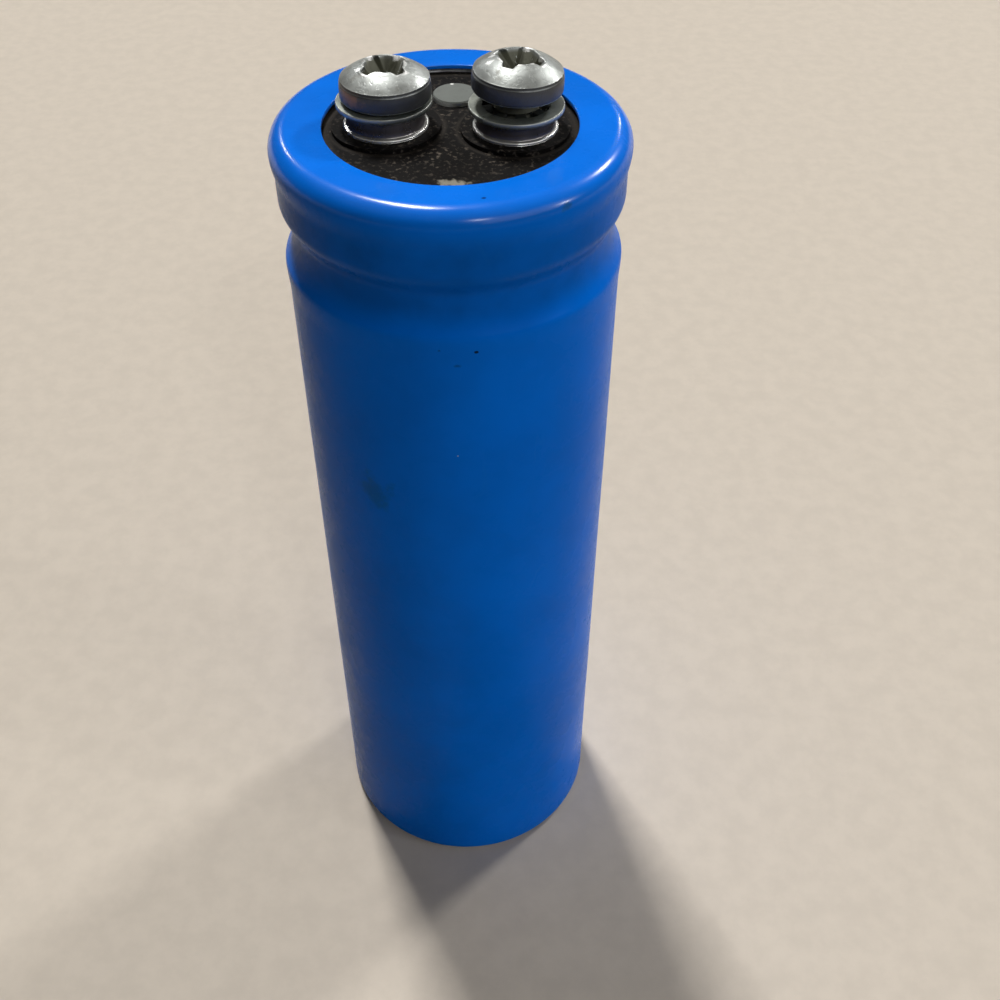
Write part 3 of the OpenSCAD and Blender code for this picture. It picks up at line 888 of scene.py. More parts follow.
@dataclass
class CaseLines:
    """Levels and radii of the can that the other pieces share, in millimetres."""

    can_r: float = 17.15
    wall: float = 0.8
    base_corner: float = 0.8
    groove_drop: float = 9.35
    groove_depth: float = 1.05
    groove_rise: float = 3.1
    groove_fall: float = 4.35
    shoulder_bend: float = 0.1
    bulge: float = 0.14
    bulge_run: float = 3.0
    head_swell: float = 0.15
    crest_swell: float = 0.34
    crest_run: float = 2.4
    rim_corner: float = 1.6
    rim_w: float = 4.1
    curl_turn: float = 1.0
    sleeve_t: float = 0.35
    lip_reach: float = 0.6
    lip_sag: float = 0.1
    lip_bend: float = 0.3
    lip_edge: float = 0.12
    base_lap: float = 4.0
    rim_z: float = field(init=False)

    def __post_init__(self) -> None:
        """Take the rim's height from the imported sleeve."""
        self.rim_z = node_box("sleeve")[1].z - self.sleeve_t

    @property
    def curl_r(self) -> float:
        """Radius of the opening inside the curl."""
        return self.can_r + self.head_swell - self.rim_w

    def flank(self, start: Point, stop: Point, out: float, steps: int = 36) -> List[Point]:
        """One flank of the rolled wall, easing between two levels and moved out along its normal.

        Args:
            start, stop: radius and height where it starts and ends.
            out: how far it is moved out.
            steps: steps along it.

        Returns:
            Its points.
        """
        (r0, z0), (r1, z1) = start, stop
        points = []
        for i in range(steps + 1):
            t = i / steps
            slope = (r1 - r0) * math.pi / 2 * math.sin(math.pi * t) / (z1 - z0)
            norm = math.hypot(1, slope)
            radius = r0 + (r1 - r0) * (1 - math.cos(math.pi * t)) / 2 + out / norm
            points.append((radius, z0 + (z1 - z0) * t - out * slope / norm))
        return points

    def lower_flank(self, shoulder: Point, groove: Point, out: float) -> List[Point]:
        """The groove's lower flank: a small arc at the shoulder runs into a wide one.

        Args:
            shoulder: radius and height where it leaves the straight wall.
            groove: radius and height of the groove's middle, where it ends.
            out: how far it is moved out.

        Returns:
            Its points.
        """
        (shoulder_r, shoulder_z), (groove_r, groove_z) = shoulder, groove
        turn = 2 * math.atan((shoulder_r - groove_r) / (groove_z - shoulder_z))
        edge_r = self.shoulder_bend + self.wall
        hollow_r = (groove_z - shoulder_z) / math.sin(turn) - edge_r
        degrees = math.degrees(turn)
        line = arc(shoulder_r - edge_r, shoulder_z, edge_r + out, 0, degrees, 10)
        return line + arc(groove_r + hollow_r, groove_z, hollow_r - out, 180 + degrees, 180, 30)[1:]

    def wall_line(self, out: float) -> List[Point]:
        """The wall from its straight part to the rim's outer corner.

        Args:
            out: how far it is moved out of the bare can.

        Returns:
            Its points, upwards.
        """
        groove_z = self.rim_z - self.groove_drop
        shoulder_z = groove_z - self.groove_fall
        head_r = self.can_r + self.head_swell
        crest_r = head_r + self.crest_swell
        crest_z = self.rim_z - self.rim_corner
        swell_r = self.can_r + self.bulge
        groove_r = self.can_r - self.groove_depth
        line = self.flank((self.can_r, shoulder_z - self.bulge_run), (swell_r, shoulder_z), out, 12)
        line += self.lower_flank((swell_r, shoulder_z), (groove_r, groove_z), out)[1:]
        line += self.flank((groove_r, groove_z), (head_r, groove_z + self.groove_rise), out)[1:]
        line += self.flank((head_r, crest_z - self.crest_run), (crest_r, crest_z), out, 12)
        line += arc(crest_r - self.rim_corner, crest_z, self.rim_corner + out, 0, 90, 24)[1:]
        return line


@dataclass
class ShrinkSleeve:
    """Shrink sleeve over the can, with its lip over the rim and its lap under the base."""

    lines: CaseLines
    segments: int = 288
    unevenness: float = 0.05
    broad_share: float = 0.7
    fine_share: float = 0.3
    even_up_to: float = 2.0
    uneven_over: float = 4.0
    straight_steps: int = 40
    land_steps: int = 8
    name: str = "shrink_sleeve"

    def outline(self) -> List[Point]:
        """Closed outline of the film.

        Returns:
            Its points, from under the base up the outside, and back down along the can.
        """
        c = self.lines
        base_r = c.can_r - c.base_corner
        base_z = c.sleeve_t + c.base_corner
        lap_r = c.can_r - c.base_lap
        lip_r = c.curl_r - c.lip_reach
        bend_r = c.curl_r + c.curl_turn * (1 - c.lip_bend)
        top = c.rim_z + c.sleeve_t
        outer = c.wall_line(c.sleeve_t)
        straight = np.linspace(base_z, outer[0][1], self.straight_steps + 1)[1:-1]
        land = np.linspace(outer[-1][0], bend_r, self.land_steps)[1:]
        line: List[Point] = [(lap_r, 0.0)]
        line += arc(base_r, base_z, c.base_corner + c.sleeve_t, -90, 0, 10)
        line += [(c.can_r + c.sleeve_t, float(z)) for z in straight]
        line += outer
        line += [(float(r), top) for r in land]
        line += [((bend_r + lip_r) / 2, top - c.lip_sag * 0.3)]
        line += arc(lip_r + c.lip_edge, top - c.lip_sag - c.lip_edge, c.lip_edge, 90, 180, 5)
        line += [(lip_r, c.rim_z - c.lip_sag), (bend_r, c.rim_z)]
        line += c.wall_line(0.0)[::-1]
        line += arc(base_r, base_z, c.base_corner, 0, -90, 6)
        line += [(lap_r, c.sleeve_t)]
        return line

    def wobble(self) -> Wobble:
        """Inward unevenness of the film, none where it lies under the base.

        Returns:
            Function that gives the change of the radius at each corner.
        """
        broad = Unevenness(11, waves=14, rounds=7, height_span=30.0)
        fine = Unevenness(12, waves=18, rounds=23, height_span=9.0)
        c = self.lines

        def change(radius: np.ndarray, angle: np.ndarray, height: np.ndarray) -> np.ndarray:
            """Change the radius.

            Args:
                radius, angle, height: the corners of the mesh.

            Returns:
                The change at each corner.
            """
            relief = self.broad_share * broad.at(angle, height) + self.fine_share * fine.at(angle, height)
            outer = np.clip((radius - c.can_r + c.groove_depth) / 0.2, 0, 1)
            clear = np.clip((height - self.even_up_to) / self.uneven_over, 0, 1)
            return -self.unevenness * (0.5 + 0.5 * np.clip(relief * 2, -1, 1)) * outer * clear

        return change

    def build(self, finish: bpy.types.Material) -> None:
        """Make the sleeve.

        Args:
            finish: the film's material.
        """
        mesh = turned(self.outline(), self.segments, Outline.CLOSED, self.wobble())
        make_piece(self.name, mesh, finish, "sleeve", 50.0)


@dataclass
class Screw:
    """Domed pan-head screw with a worn cross recess and a rolled thread.

    Fields, after the size of the head, the thread and the recess: how far the recess's walls waver,
    how early and over what width a wing eases into the core, how far the recess's edge is worn off,
    the burr's height, place and width, how far from its side the dome stops, and the mesh's steps.
    """

    node: str
    turn_deg: float
    seed: int
    lean_deg: float = 0.0
    shift_x: float = 0.0
    head_r: float = 4.45
    side: float = 1.95
    taper: float = 0.1
    dome: float = 1.56
    edge: float = 0.35
    shank_r: float = 2.24
    root_r: float = 1.85
    crest: float = 0.06
    length: float = 8.0
    pitch: float = 0.794
    recess_r: float = 2.9
    slot_w: float = 1.3
    core_r: float = 2.05
    recess_depth: float = 2.6
    waver: float = 0.12
    ease_early: float = 0.12
    ease_w: float = 0.3
    worn: float = 0.16
    burr: float = 0.045
    burr_off: float = 0.3
    burr_w: float = 0.22
    brow: float = 0.12
    rings: int = 170
    segments: int = 264
    thread_steps: int = 56

    def dome_z(self, radius: np.ndarray) -> np.ndarray:
        """Height of the dome over the head's underside.

        Args:
            radius: distances from the screw's axis.

        Returns:
            The heights.
        """
        edge_r = self.head_r - self.taper
        ball = (edge_r ** 2 + self.dome ** 2) / (2 * self.dome)
        return self.side + self.dome - ball + np.sqrt(np.maximum(ball ** 2 - radius ** 2, 0))

    def head_top(self, x: np.ndarray, y: np.ndarray) -> np.ndarray:
        """Height of the head's top over its underside, with the cross recess pressed in.

        Args:
            x, y: places on the head, in millimetres.

        Returns:
            The heights.
        """
        turn = math.radians(self.turn_deg)
        u = x * math.cos(turn) + y * math.sin(turn)
        v = -x * math.sin(turn) + y * math.cos(turn)
        radius = np.hypot(x, y)
        uneven = Unevenness(self.seed, waves=12, rounds=9, height_span=3.0).at(np.arctan2(y, x), radius)
        top = self.dome_z(radius)
        floor = self.side + self.dome - self.recess_depth
        half = self.slot_w / 2
        away = np.maximum(radius - half, 0) + self.waver * uneven
        core = floor + away * self.recess_depth / (self.core_r - half)
        wing = floor + away * self.recess_depth / (self.recess_r - half)
        across = np.minimum(np.abs(u), np.abs(v))
        share = np.clip((across - half + self.ease_early) / self.ease_w, 0, 1)
        share = share * share * (3 - 2 * share)
        pressed = wing + (core - wing) * share
        # The edge is rounded off where it was worn, and a burr stands up just outside it
        gap = pressed - top
        blend = np.clip(0.5 + gap / (2 * self.worn), 0, 1)
        edge = pressed + (top - pressed) * blend - self.worn * blend * (1 - blend)
        lip = np.exp(-((gap - self.burr_off) / self.burr_w) ** 2) * self.burr * (0.6 + 0.8 * uneven)
        return edge + np.maximum(lip, 0)

    def burrs(self, points: np.ndarray) -> np.ndarray:
        """Share of painted highlight on the head: the burr round the recess, rubbed bright, in places.

        Args:
            points: the head's corners, about the screw's own axis.

        Returns:
            The share at each corner.
        """
        radius = np.hypot(points[:, 0], points[:, 1])
        proud = points[:, 2] - self.dome_z(radius)
        places = Unevenness(self.seed + 7, waves=14, rounds=11, height_span=2.0)
        uneven = places.at(np.arctan2(points[:, 1], points[:, 0]), radius)
        near = (radius < self.recess_r + 0.5) * (points[:, 2] > self.side)
        return np.clip(proud / self.burr * 1.6, 0, 1) * np.clip(0.4 + 2.4 * uneven, 0, 1) * near

    def shade_and_grime(self, points: np.ndarray) -> np.ndarray:
        """Share of painted shade with a grimy tint on the head: full inside the recess and under the head.

        Args:
            points: the head's corners, about the screw's own axis.

        Returns:
            The share at each corner.
        """
        radius = np.hypot(points[:, 0], points[:, 1])
        sunk = self.dome_z(radius) - points[:, 2]
        inside = np.clip((sunk - 0.1) / 0.35, 0, 1) * (radius < self.recess_r + 0.3)
        return np.where(points[:, 2] < 0.05, radius < self.head_r * 0.8, inside)

    def head(self) -> Mesh:
        """Model the head and its underside.

        Returns:
            The corners and the faces, about the screw's own axis.
        """
        edge_r = self.head_r - self.taper
        brow_r = edge_r - self.brow
        turns = np.linspace(0, 2 * math.pi, self.segments, endpoint=False)
        rows: List[np.ndarray] = []
        for radius in np.linspace(0, brow_r, self.rings)[1:]:
            x, y = radius * np.cos(turns), radius * np.sin(turns)
            rows.append(np.stack([x, y, self.head_top(x, y)], -1))
        brow_z = float(self.dome_z(np.array([brow_r]))[0])
        side = [(edge_r - 0.04, brow_z - 0.05), (edge_r, self.side - 0.08),
                (edge_r + 0.02, self.side - 0.22)]
        side += [(self.head_r - self.taper * share ** 2, self.side * (1 + share) / 2)
                 for share in (0.75, 0.6, 0.45, 0.3, 0.15)]
        side += [(self.head_r, self.side * share) for share in (0.5, 0.35)]
        side += arc(self.head_r - self.edge, self.edge, self.edge, 0, -90, 8)
        side += [(self.head_r * 0.7, 0.0), (self.root_r + 0.2, 0.0), (self.root_r, -0.15)]
        for radius, height in side:
            rows.append(np.stack([radius * np.cos(turns), radius * np.sin(turns),
                                  np.full_like(turns, height)], -1))
        middle = np.array([[0.0, 0.0, float(self.head_top(np.zeros(1), np.zeros(1))[0])]])
        faces: Faces = [(0, 1 + j, 1 + (j + 1) % self.segments) for j in range(self.segments)]
        faces += grid([1 + i * self.segments for i in range(len(rows))], self.segments, flip=True)
        return np.concatenate([middle] + rows), faces

    def thread(self) -> Mesh:
        """Model the threaded shank.

        Returns:
            The corners and the faces, about the screw's own axis.
        """
        steps = self.thread_steps
        total = steps * int((self.length - 0.2) / self.pitch)
        flank_r = self.shank_r - self.crest
        section = [(self.root_r, 0.0), (flank_r, self.pitch * 0.38), (self.shank_r, self.pitch * 0.46),
                   (flank_r, self.pitch * 0.54), (self.root_r, self.pitch * 0.92)]
        points = []
        for i in range(total + 1):
            turn = 2 * math.pi * i / steps
            fade = min(1.0, (total - i) / steps, 0.15 + i / (steps * 0.5))
            for radius, height in section:
                r = self.root_r + (radius - self.root_r) * fade
                z = -0.1 - self.pitch * i / steps - (self.pitch - height)
                points.append((r * math.cos(turn), -r * math.sin(turn), z))
        faces = grid(range(0, len(points), len(section)), len(section), ring=False, flip=True)
        core = [(self.root_r, -0.1), (self.root_r, -self.length + 0.5), (self.root_r - 0.4, -self.length),
                (0.0, -self.length)]
        core_points, core_faces = turned(core, steps, Outline.OPEN)
        faces += [tuple(corner + len(points) for corner in face) for face in core_faces]
        return np.concatenate([np.array(points), core_points]), faces

    def place(self, points: np.ndarray, centre_x: float, under_z: float) -> np.ndarray:
        """Move points from the screw's own axis to its terminal, leaning about its middle.

        Args:
            points: the corners to move.
            centre_x: X of its terminal.
            under_z: height of the head's underside.

        Returns:
            The moved corners.
        """
        pivot = self.length / 2
        lean = math.radians(self.lean_deg)
        x, y, z = points[:, 0], points[:, 1], points[:, 2] + pivot
        leaned = np.stack([x * math.cos(lean) + z * math.sin(lean), y,
                           -x * math.sin(lean) + z * math.cos(lean) - pivot], -1)
        return leaned + np.array([centre_x + self.shift_x, 0.0, under_z])

    def build(self, finish: bpy.types.Material, centre_x: float, under_z: float) -> None:
        """Make the head and the threaded shank.

        Args:
            finish: the screw's material.
            centre_x: X of its terminal.
            under_z: height of the head's underside.
        """
        points, faces = self.head()
        mesh = self.place(points, centre_x, under_z), faces
        # The recess and the underside take painted shade with a grimy tint, and the burr a painted
        # highlight.
        make_piece(self.node + "_head", mesh, finish, self.node, 40.0,
                   {SHADE_AND_GRIME: self.shade_and_grime(points), POLISH_AND_HIGHLIGHT: self.burrs(points)})
        # The thread is dark all over: painted shade for the gap under the head.
        points, faces = self.thread()
        mesh = self.place(points, centre_x, under_z), faces
        make_piece(self.node + "_thread", mesh, finish, self.node, 35.0,
                   {SHADE_AND_GRIME: np.ones(len(points))})


@dataclass
class LockWasher:
    """Internal-tooth lock washer, whose teeth twist more towards their tips."""

    node: str
    twist_deg: float
    shift_x: float = 0.0
    outer_r: float = 4.7
    ring: float = 1.4
    sheet: float = 0.5
    soft: float = 0.12
    teeth: int = 9
    tooth_w: float = 1.1
    tooth_soft: float = 0.08
    tooth_narrow: float = 0.12
    tooth_sunk: float = 0.1
    tip_r: float = 2.475
    rim_w: float = 0.16
    # share of painted highlight on the top of the outer rim
    rim_highlight: float = 0.8

    @property
    def height(self) -> float:
        """Height of the washer over its twisted teeth."""
        twist = math.radians(self.twist_deg)
        return self.tooth_w * math.sin(twist) + self.sheet * math.cos(twist)

    def build(self, finish: bpy.types.Material, centre_x: float, post_z: float) -> None:
        """Make the ring and its teeth as one piece.

        Args:
            finish: the washer's material.
            centre_x: X of its terminal.
            post_z: height of the post's top.
        """
        root_r = self.outer_r - self.ring
        outline = rounded_bar(root_r, self.outer_r, self.sheet / 2, self.soft, 5)
        points, faces = turned(outline, 180, Outline.CLOSED)
        parts = [points]
        count = len(points)
        for i in range(self.teeth):
            tooth, tooth_faces = self.tooth(root_r + self.tooth_sunk)
            turn = 2 * math.pi * i / self.teeth
            x, y = tooth[:, 0].copy(), tooth[:, 1].copy()
            tooth[:, 0] = x * math.cos(turn) - y * math.sin(turn)
            tooth[:, 1] = x * math.sin(turn) + y * math.cos(turn)
            parts.append(tooth)
            faces += [tuple(corner + count for corner in face) for face in tooth_faces]
            count += len(tooth)
        flat = np.concatenate(parts)
        radius = np.hypot(flat[:, 0], flat[:, 1])
        # Painted highlight on the top of the outer rim.
        rim = np.clip((radius - self.outer_r + self.rim_w) / 0.1, 0, 1) * (flat[:, 2] > 0)
        # Painted shade on the teeth and the inner edge under the head.
        inside = np.clip((root_r + 0.2 - radius) / 0.2, 0, 1)
        points = flat + np.array([centre_x + self.shift_x, 0.0, post_z + self.height / 2])
        make_piece(self.node + "_stamped", (points, faces), finish, self.node, 40.0,
                   {POLISH_AND_HIGHLIGHT: rim * self.rim_highlight, SHADE_AND_GRIME: inside})

    def tooth(self, root_r: float) -> Mesh:
        """Model one tooth along X: sections from its root to its tip, each turned a little further.

        Args:
            root_r: radius of its root.

        Returns:
            The corners and the faces.
        """
        steps = 10
        twist = math.radians(self.twist_deg)
        section = rounded_bar(-self.tooth_w / 2, self.tooth_w / 2, self.sheet / 2, self.tooth_soft, 3)
        points = []
        for i in range(steps + 1):
            share = i / steps
            radius = root_r + (self.tip_r - root_r) * share
            turn = twist * min(1.0, share * 1.6)
            narrow = 1.0 - self.tooth_narrow * share
            for across, up in section:
                y = across * narrow * math.cos(turn) - up * math.sin(turn)
                z = across * narrow * math.sin(turn) + up * math.cos(turn)
                points.append((radius, y, z))
        span = len(section)
        faces = grid(range(0, len(points), span), span)
        faces.append(tuple(range(span))[::-1])
        faces.append(tuple(range(steps * span, len(points))))
        return np.array(points), faces


@dataclass
class TerminalPost:
    """Turned post with a thin flared foot and a tapped hole."""

    node: str
    seed: int
    post_r: float = 3.85
    foot_r: float = 4.25
    bead: float = 0.17
    bore_r: float = 2.35
    bore_edge: float = 0.3
    bore_depth: float = 3.0
    sunk: float = 1.2
    chamfer: float = 0.15
    dent: float = 0.06

    def build(self, finish: bpy.types.Material, centre_x: float, boss_z: float, post_z: float) -> None:
        """Make the part of the post that stands above the deck.

        Args:
            finish: the post's material.
            centre_x: X of the post.
            boss_z: height of its boss.
            post_z: height of its top.
        """
        line: List[Point] = [(self.post_r, boss_z - self.sunk), (self.post_r, boss_z - 0.02)]
        line += [(self.foot_r - 0.04, boss_z)]
        line += arc(self.foot_r - self.bead, boss_z + self.bead * 0.8, self.bead, -45, 80, 10)
        line += [(self.post_r + 0.06, boss_z + 0.36), (self.post_r + 0.01, boss_z + 0.44)]
        line += [(self.post_r, boss_z + 0.9), (self.post_r, post_z - self.chamfer)]
        line += [(self.post_r - self.chamfer, post_z), (self.bore_r + self.bore_edge, post_z)]
        line += [(self.bore_r, post_z - self.bore_edge), (self.bore_r, post_z - self.bore_depth)]
        uneven = Unevenness(self.seed, waves=16, rounds=40, height_span=2.0)

        def dented(radius: np.ndarray, angle: np.ndarray, height: np.ndarray) -> np.ndarray:
            """Tiny dents of the foot's thin edge."""
            edge = np.clip((radius - self.post_r - 0.05) / 0.3, 0, 1)
            return -self.dent * edge * (0.5 + 0.5 * uneven.at(angle, height))

        points, faces = turned(line, 200, Outline.OPEN, dented)
        radius = np.hypot(points[:, 0], points[:, 1])
        # Painted highlight on the flared foot.
        on_foot = np.clip((radius - self.post_r - 0.03) / 0.1, 0, 1) * (points[:, 2] > boss_z - 0.5)
        points[:, 0] += centre_x
        make_piece(self.node + "_post", (points, faces), finish, self.node, 40.0,
                   {POLISH_AND_HIGHLIGHT: on_foot})


# Studio


@dataclass(frozen=True)
class Viewpoint:
    """Where the photograph was taken from, in millimetres and degrees."""

    place: Place = (8.83, -111.92, 160.30)
    yaw: float = -2.014
    pitch: float = 43.459
    roll: float = 0.098
    lens: float = 43.98
    sensor: float = 36.0

    def build(self) -> None:
        """Make the camera and look through it."""
        yaw, pitch, roll = (math.radians(v) for v in (self.yaw, self.pitch, self.roll))
        forward = Vector((math.sin(yaw) * math.cos(pitch), math.cos(yaw) * math.cos(pitch),
                          -math.sin(pitch)))
        right = forward.cross(Vector((0, 0, 1))).normalized()
        up = right.cross(forward)
        right, up = (right * math.cos(roll) + up * math.sin(roll),
                     up * math.cos(roll) - right * math.sin(roll))
        data = bpy.data.cameras.new("camera")
        data.sensor_width = self.sensor
        data.lens = self.lens
        data.clip_start, data.clip_end = 0.005, 20.0
        camera = bpy.data.objects.new("camera", data)
        turn = Matrix((right, up, -forward)).transposed().to_4x4()
        camera.matrix_world = Matrix.Translation(Vector(self.place) * MM) @ turn
        bpy.context.scene.collection.objects.link(camera)
        bpy.context.scene.camera = camera


@dataclass(frozen=True)
class Lamp:
    """Soft lamp that looks at the case from a bearing.

    Fields: its name, its bearing from +Y towards +X and its height in degrees, its distance and size
    in metres, the light that falls on a surface facing it (1 shows a colour as it is), and its tint.
    """

    name: str
    bearing: float
    height: float
    distance: float
    size: Tuple[float, float]
    level: float
    tint: Colour = EVEN

    def build(self, target: Vector) -> None:
        """Make the lamp.

        Args:
            target: the place that it faces, in metres.
        """
        bearing, height = math.radians(self.bearing), math.radians(self.height)
        away = Vector((math.sin(bearing) * math.cos(height), math.cos(bearing) * math.cos(height),
                       math.sin(height)))
        data = bpy.data.lights.new(self.name, "AREA")
        data.shape = "RECTANGLE"
        data.size, data.size_y = self.size
        data.color = self.tint
        data.energy = self.level * math.pi ** 2 * self.distance ** 2
        lamp = bpy.data.objects.new(self.name, data)
        lamp.rotation_mode = "QUATERNION"
        lamp.location = target + away * self.distance
        lamp.rotation_quaternion = away.to_track_quat("Z", "Y")
        bpy.context.scene.collection.objects.link(lamp)


@dataclass(frozen=True)
class Studio:
    """Plain pale floor, soft lamps and an even surround.

    Fields: the floor's colour, how much light it throws back on the object, its mottle, how dark the
    mottle goes, its roughness and half its side in metres; the surround's colour, its levels for
    matt surfaces and low and high in glossy ones, and the rise between those; and the lamps' aim.
    """

    floor_colour: Colour = (208, 197, 182)
    bounce: float = 0.35
    mottle: Cloud = Cloud(260.0, 6.0, 0.6)
    mottle_dark: float = 0.93
    floor_rough: float = 0.8
    floor_half: float = 3.0
    surround: Colour = (214, 209, 200)
    diffuse_level: float = 0.02
    low_level: float = 0.06
    high_level: float = 0.5
    rise: Point = (0.45, 0.92)
    aim: Place = (0.0, 0.0, 0.09)

    def floor(self) -> None:
        """Make the floor."""
        half = self.floor_half
        mesh = bpy.data.meshes.new("floor")
        mesh.from_pydata([(-half, -half, 0), (half, -half, 0), (half, half, 0), (-half, half, 0)], [],
                         [(0, 1, 2, 3)])
        surface = Surface("floor")
        base = surface.mix(surface.cloud(self.mottle), linear(self.floor_colour, self.mottle_dark),
                           linear(self.floor_colour))
        path = surface.add("LightPath").outputs
        seen = surface.most(path["Is Camera Ray"], path["Is Glossy Ray"])
        seen = surface.most(seen, path["Is Transmission Ray"])
        base = surface.mix(seen, linear(self.floor_colour, self.bounce), base)
        surface.fill(surface.shader, {"Base Color": base, "Roughness": self.floor_rough})
        mesh.materials.append(surface.material)
        floor = bpy.data.objects.new("floor", mesh)
        bpy.context.scene.collection.objects.link(floor)

    def world(self) -> None:
        """Make the even surround."""
        world = bpy.data.worlds.new("surround")
        bpy.context.scene.world = world
        world.use_nodes = True
        world.node_tree.nodes.clear()
        sheet = Sheet(world.node_tree)
        path = sheet.add("LightPath").outputs
        up = sheet.height(sheet.add("TexCoord").outputs["Generated"])
        mirrored = sheet.ramp(up, *self.rise, self.low_level, self.high_level)
        seen = sheet.most(path["Is Camera Ray"], path["Is Transmission Ray"])
        level = sheet.times(path["Is Glossy Ray"], mirrored)
        level = sheet.most(sheet.most(level, seen), self.diffuse_level)
        back = sheet.add("Background", {"Color": (*linear(self.surround), 1.0), "Strength": level})
        sheet.add("OutputWorld", {"Surface": back.outputs[0]})

    def build(self, lamps: Sequence[Lamp]) -> None:
        """Make the floor, the surround and the lamps.

        Args:
            lamps: the lamps to make.
        """
        self.floor()
        self.world()
        for lamp in lamps:
            lamp.build(Vector(self.aim))


WARM = (1.0, 0.99, 0.975)
LAMPS = (
    Lamp("key_back_left", -24.0, 63.0, 4.0, (0.46, 1.2), 0.75, WARM),
    Lamp("second_back_right", 45.0, 35.0, 4.0, (0.52, 0.28), 0.33, WARM),
    Lamp("far_left", -30.0, 28.0, 4.0, (0.14, 0.14), 0.055),
    Lamp("far_right", 17.0, 20.0, 4.0, (0.12, 0.08), 0.028),
    Lamp("front_right", 130.0, 27.0, 2.0, (2.0, 0.9), 0.18),
    Lamp("front_fill", 158.0, 38.0, 2.0, (0.15, 0.07), 0.085),
    Lamp("right_low", 104.0, 21.0, 2.0, (0.12, 0.07), 0.085),
)


# Case

SLEEVE_MARKS = (
    Mark(around(-117.0, 17.5, 69.3), (3.0, 2.6, 2.9), (10, 88, 104), 0.4, 1.1, 0.95, 520.0),
    Mark(around(-79.5, 17.5, 90.0), (0.28, 0.28, 0.2), (10, 14, 30), 0.95, 0.3, 0.4, 2500.0),
    Mark(around(-91.1, 17.5, 90.3), (0.2, 0.2, 0.16), (6, 40, 80), 0.6, 0.3, 0.6, 2500.0),
    Mark(around(-85.6, 17.5, 88.4), (0.5, 0.4, 0.25), (6, 48, 96), 0.5, 0.6, 0.8, 1800.0),
    Mark(around(-86.2, 17.5, 76.8), (0.12, 0.12, 0.12), (190, 205, 220), 0.9, 0.2, 0.5, 2500.0),
    Mark(around(-75.2, 15.45, 105.2), (0.3, 0.24, 0.2), (4, 40, 110), 0.85, 0.5, 0.6, 2500.0),
    Mark(around(-50.2, 17.9, 103.9), (0.9, 0.9, 0.5), (30, 88, 110), 0.5, 0.9, 0.8, 1500.0),
)
DUST_RINGS = (
    (6.35, 5.75, 0.35, 0.16),
    (-6.35, 5.75, 0.35, 0.16),
    (0.0, 12.3, 0.7, 0.22),
)
# A white spot at the plug's back edge: a painted glint.
VENT_GLINT = (
    Mark((-0.45, 8.9, 104.9), (0.3, 0.3, 0.3), (250, 250, 246), 1.0, 0.3, 0.4, 1500.0),
)
# Places of painted glints round the screws' recesses and on their domes.
PAINTED_GLINTS = (
    (-7.7, 1.95, 110.5), (-8.55, -1.05, 110.5), (-5.1, 1.8, 110.5), (-4.05, -1.3, 110.5),
    (-2.7, -1.9, 109.75), (4.15, 0.1, 111.5), (7.35, 2.3, 111.4), (8.75, -0.3, 111.4),
    (3.9, -1.0, 111.4), (10.0, -1.95, 110.6),
)
# Painted light on the screws: a brown painted reflection on the left head's side, and painted glints.
SCREW_PAINTED_LIGHT = (
    Mark((-9.3, -3.2, 108.6), (2.1, 1.9, 0.95), (150, 112, 90), 0.75, 0.8, 0.8, 1400.0),
    *(Mark(spot, (0.42, 0.42, 0.42), (250, 250, 248), 0.85, 1.4, 0.6, 1900.0) for spot in PAINTED_GLINTS),
)
# Painted shade on the left washer's top under its head.
WASHER_SHADE_MARKS = (
    Mark((-4.2, -2.5, 106.9), (4.4, 3.4, 1.2), (44, 48, 50), 0.75, 0.3, 0.8, 900.0),
)
DECK_MARKS = (
    Mark((0.75, -10.7, 104.2), (1.7, 0.75, 0.6), (164, 158, 142), 0.85, 1.1, 0.6, 1300.0),
)

FINISHES: Dict[str, Finish] = {
    "sleeve_film": ShrinkFilm("blue_film", (0, 122, 245), SLEEVE_MARKS),
    "can_metal": PlatedMetal("drawn_aluminium", (214, 214, 218), rough_low=0.28, rough_high=0.45),
    "deck_moulding": Moulding("black_resin", (15, 13, 12), DECK_MARKS, rings=DUST_RINGS),
    "black_rubber": MattStock("black_rubber", (34, 34, 34)),
    # The vent's upright side takes a near-white colour: painted light.
    "grey_rubber": MattStock("grey_rubber", (114, 119, 114), VENT_GLINT, grain=900.0, relief=0.00003,
                             stain=(88, 90, 85), side=(236, 238, 232)),
    # Painted shade on the posts' upright walls; painted highlight on their feet.
    "post_metal": PlatedMetal("turned_aluminium", (150, 147, 142), rough_low=0.26, rough_high=0.4,
                              scratches=Scratches((1.0, 1.0, 0.2), 900.0, 0.6), side=(118, 112, 115)),
    # Painted shade on the heads' upright sides, and painted shade with a grimy tint in the recesses and
    # under the heads.
    "screw_steel": PlatedMetal("zinc_plate", (172, 176, 173), SCREW_PAINTED_LIGHT, tarnish=(112, 110, 102),
                               rough_low=0.36, rough_high=0.46, metal=0.65, side=(64, 65, 67),
                               shade_and_grime_colour=(104, 104, 88)),
    # Painted shade on the washers' edges, near-black painted shade on the teeth under the heads, and a
    # painted highlight on the outer rims.
    "washer_steel": PlatedMetal("zinc_sheet", (150, 156, 147), WASHER_SHADE_MARKS, rough_low=0.34, rough_high=0.46,
                                metal=0.65, side=(104, 108, 104), shade_and_grime_colour=(30, 32, 30),
                                polish_and_highlight_colour=(206, 210, 202)),
    "foil_metal": PlatedMetal("foil", (215, 215, 218), rough_low=0.2, rough_high=0.35),
    "paper": MattStock("kraft_paper", (196, 170, 126), grain=700.0, stretch=(1.0, 1.0, 0.15)),
    "roll": MattStock("soaked_roll", (170, 160, 134), grain=900.0, stretch=(0.2, 0.2, 1.0)),
    "pitch": MattStock("cast_pitch", (26, 22, 20), grain=300.0, rough=0.45),
}


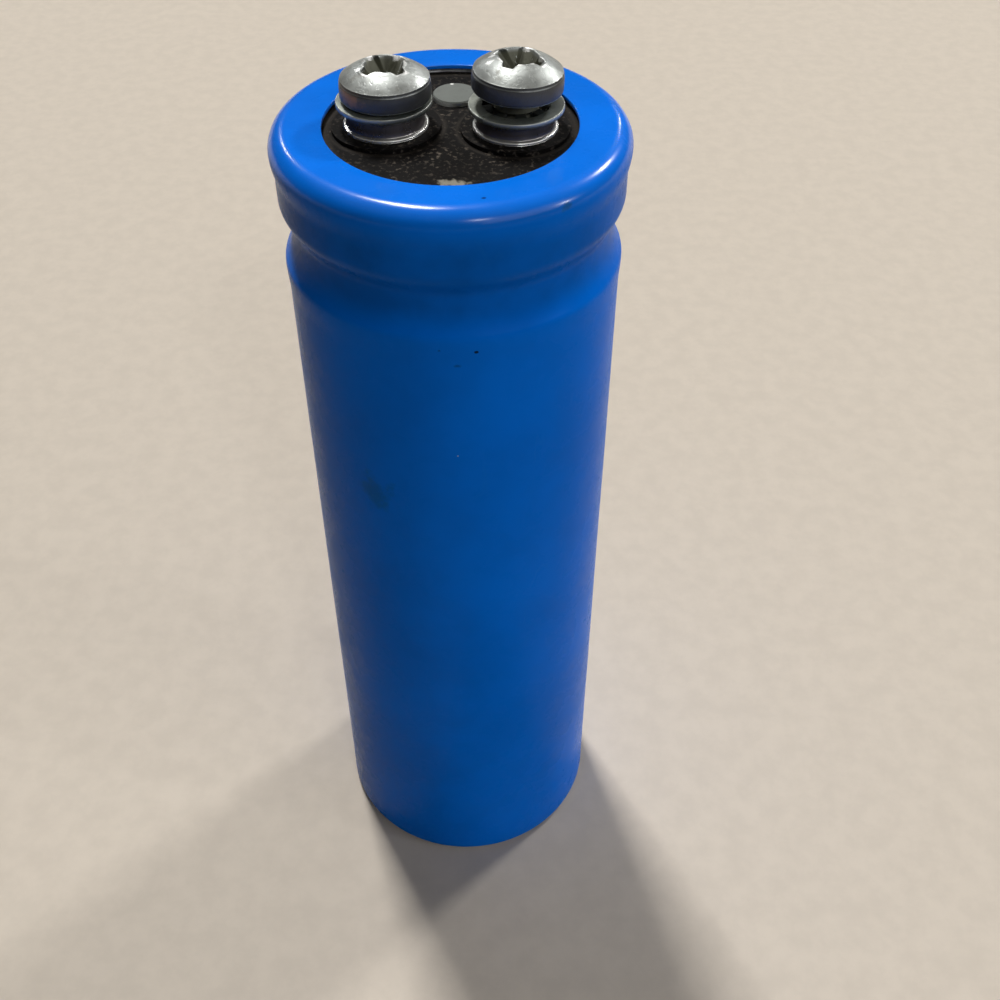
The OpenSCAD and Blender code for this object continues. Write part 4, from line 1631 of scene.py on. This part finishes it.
def dress_nodes(finishes: Dict[str, bpy.types.Material]) -> None:
    """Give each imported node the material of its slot.

    Args:
        finishes: materials by the record's slot.
    """
    slots = {part["node"]: part["material_slot"] for part in frame["record"]["subparts"]}
    for name, node in frame["nodes"].items():
        node.data.materials.clear()
        node.data.materials.append(finishes[slots[name]])
        LOG.info("node %s: %s", name, slots[name])


@dataclass
class Capacitor:
    """The whole capacitor, from its packed levels.

    Fields: the terminals' spacing, how far the tight screw and the washers sit off their axes, how
    far the loose screw is backed off and leans, how its and the tight one's recess is turned, and
    how far the teeth of the pressed and of the free washer are twisted.
    """

    pitch: float = 12.7
    tight_shift: float = 0.14
    washer_shift: float = 0.07
    backed_off: float = 1.4
    lean: float = 2.006
    turn_loose: float = 66.0
    turn_tight: float = 46.0
    twist_tight: float = 29.0
    twist_loose: float = 2.0

    def build(self) -> None:
        """Make and dress every piece."""
        finishes = {slot: finish.build() for slot, finish in FINISHES.items()}
        dress_nodes(finishes)
        ShrinkSleeve(CaseLines()).build(finishes["sleeve_film"])
        post_z = node_box("terminal_negative")[1].z
        boss_z = node_box("deck")[1].z
        half = self.pitch / 2
        metal, steel, sheet = finishes["post_metal"], finishes["screw_steel"], finishes["washer_steel"]
        TerminalPost("terminal_positive", 31).build(metal, half, boss_z, post_z)
        TerminalPost("terminal_negative", 32).build(metal, -half, boss_z, post_z)
        loose = LockWasher("lock_washer_positive", self.twist_loose, self.washer_shift)
        loose.build(sheet, half, post_z)
        tight = LockWasher("lock_washer_negative", self.twist_tight, -self.washer_shift)
        tight.build(sheet, -half, post_z)
        screw = Screw("screw_negative", self.turn_tight, 41, shift_x=self.tight_shift)
        screw.build(steel, -half, post_z + tight.height)
        screw = Screw("screw_positive", self.turn_loose, 42, lean_deg=self.lean)
        screw.build(steel, half, post_z + loose.height + self.backed_off)


def main() -> None:
    """Build the capacitor and its studio."""
    logging.basicConfig(level=logging.INFO, format="%(message)s")
    bpy.context.scene.view_settings.view_transform = "Standard"
    Viewpoint().build()
    Studio().build(LAMPS)
    Capacitor().build()


if __name__ == "__main__":
    main()
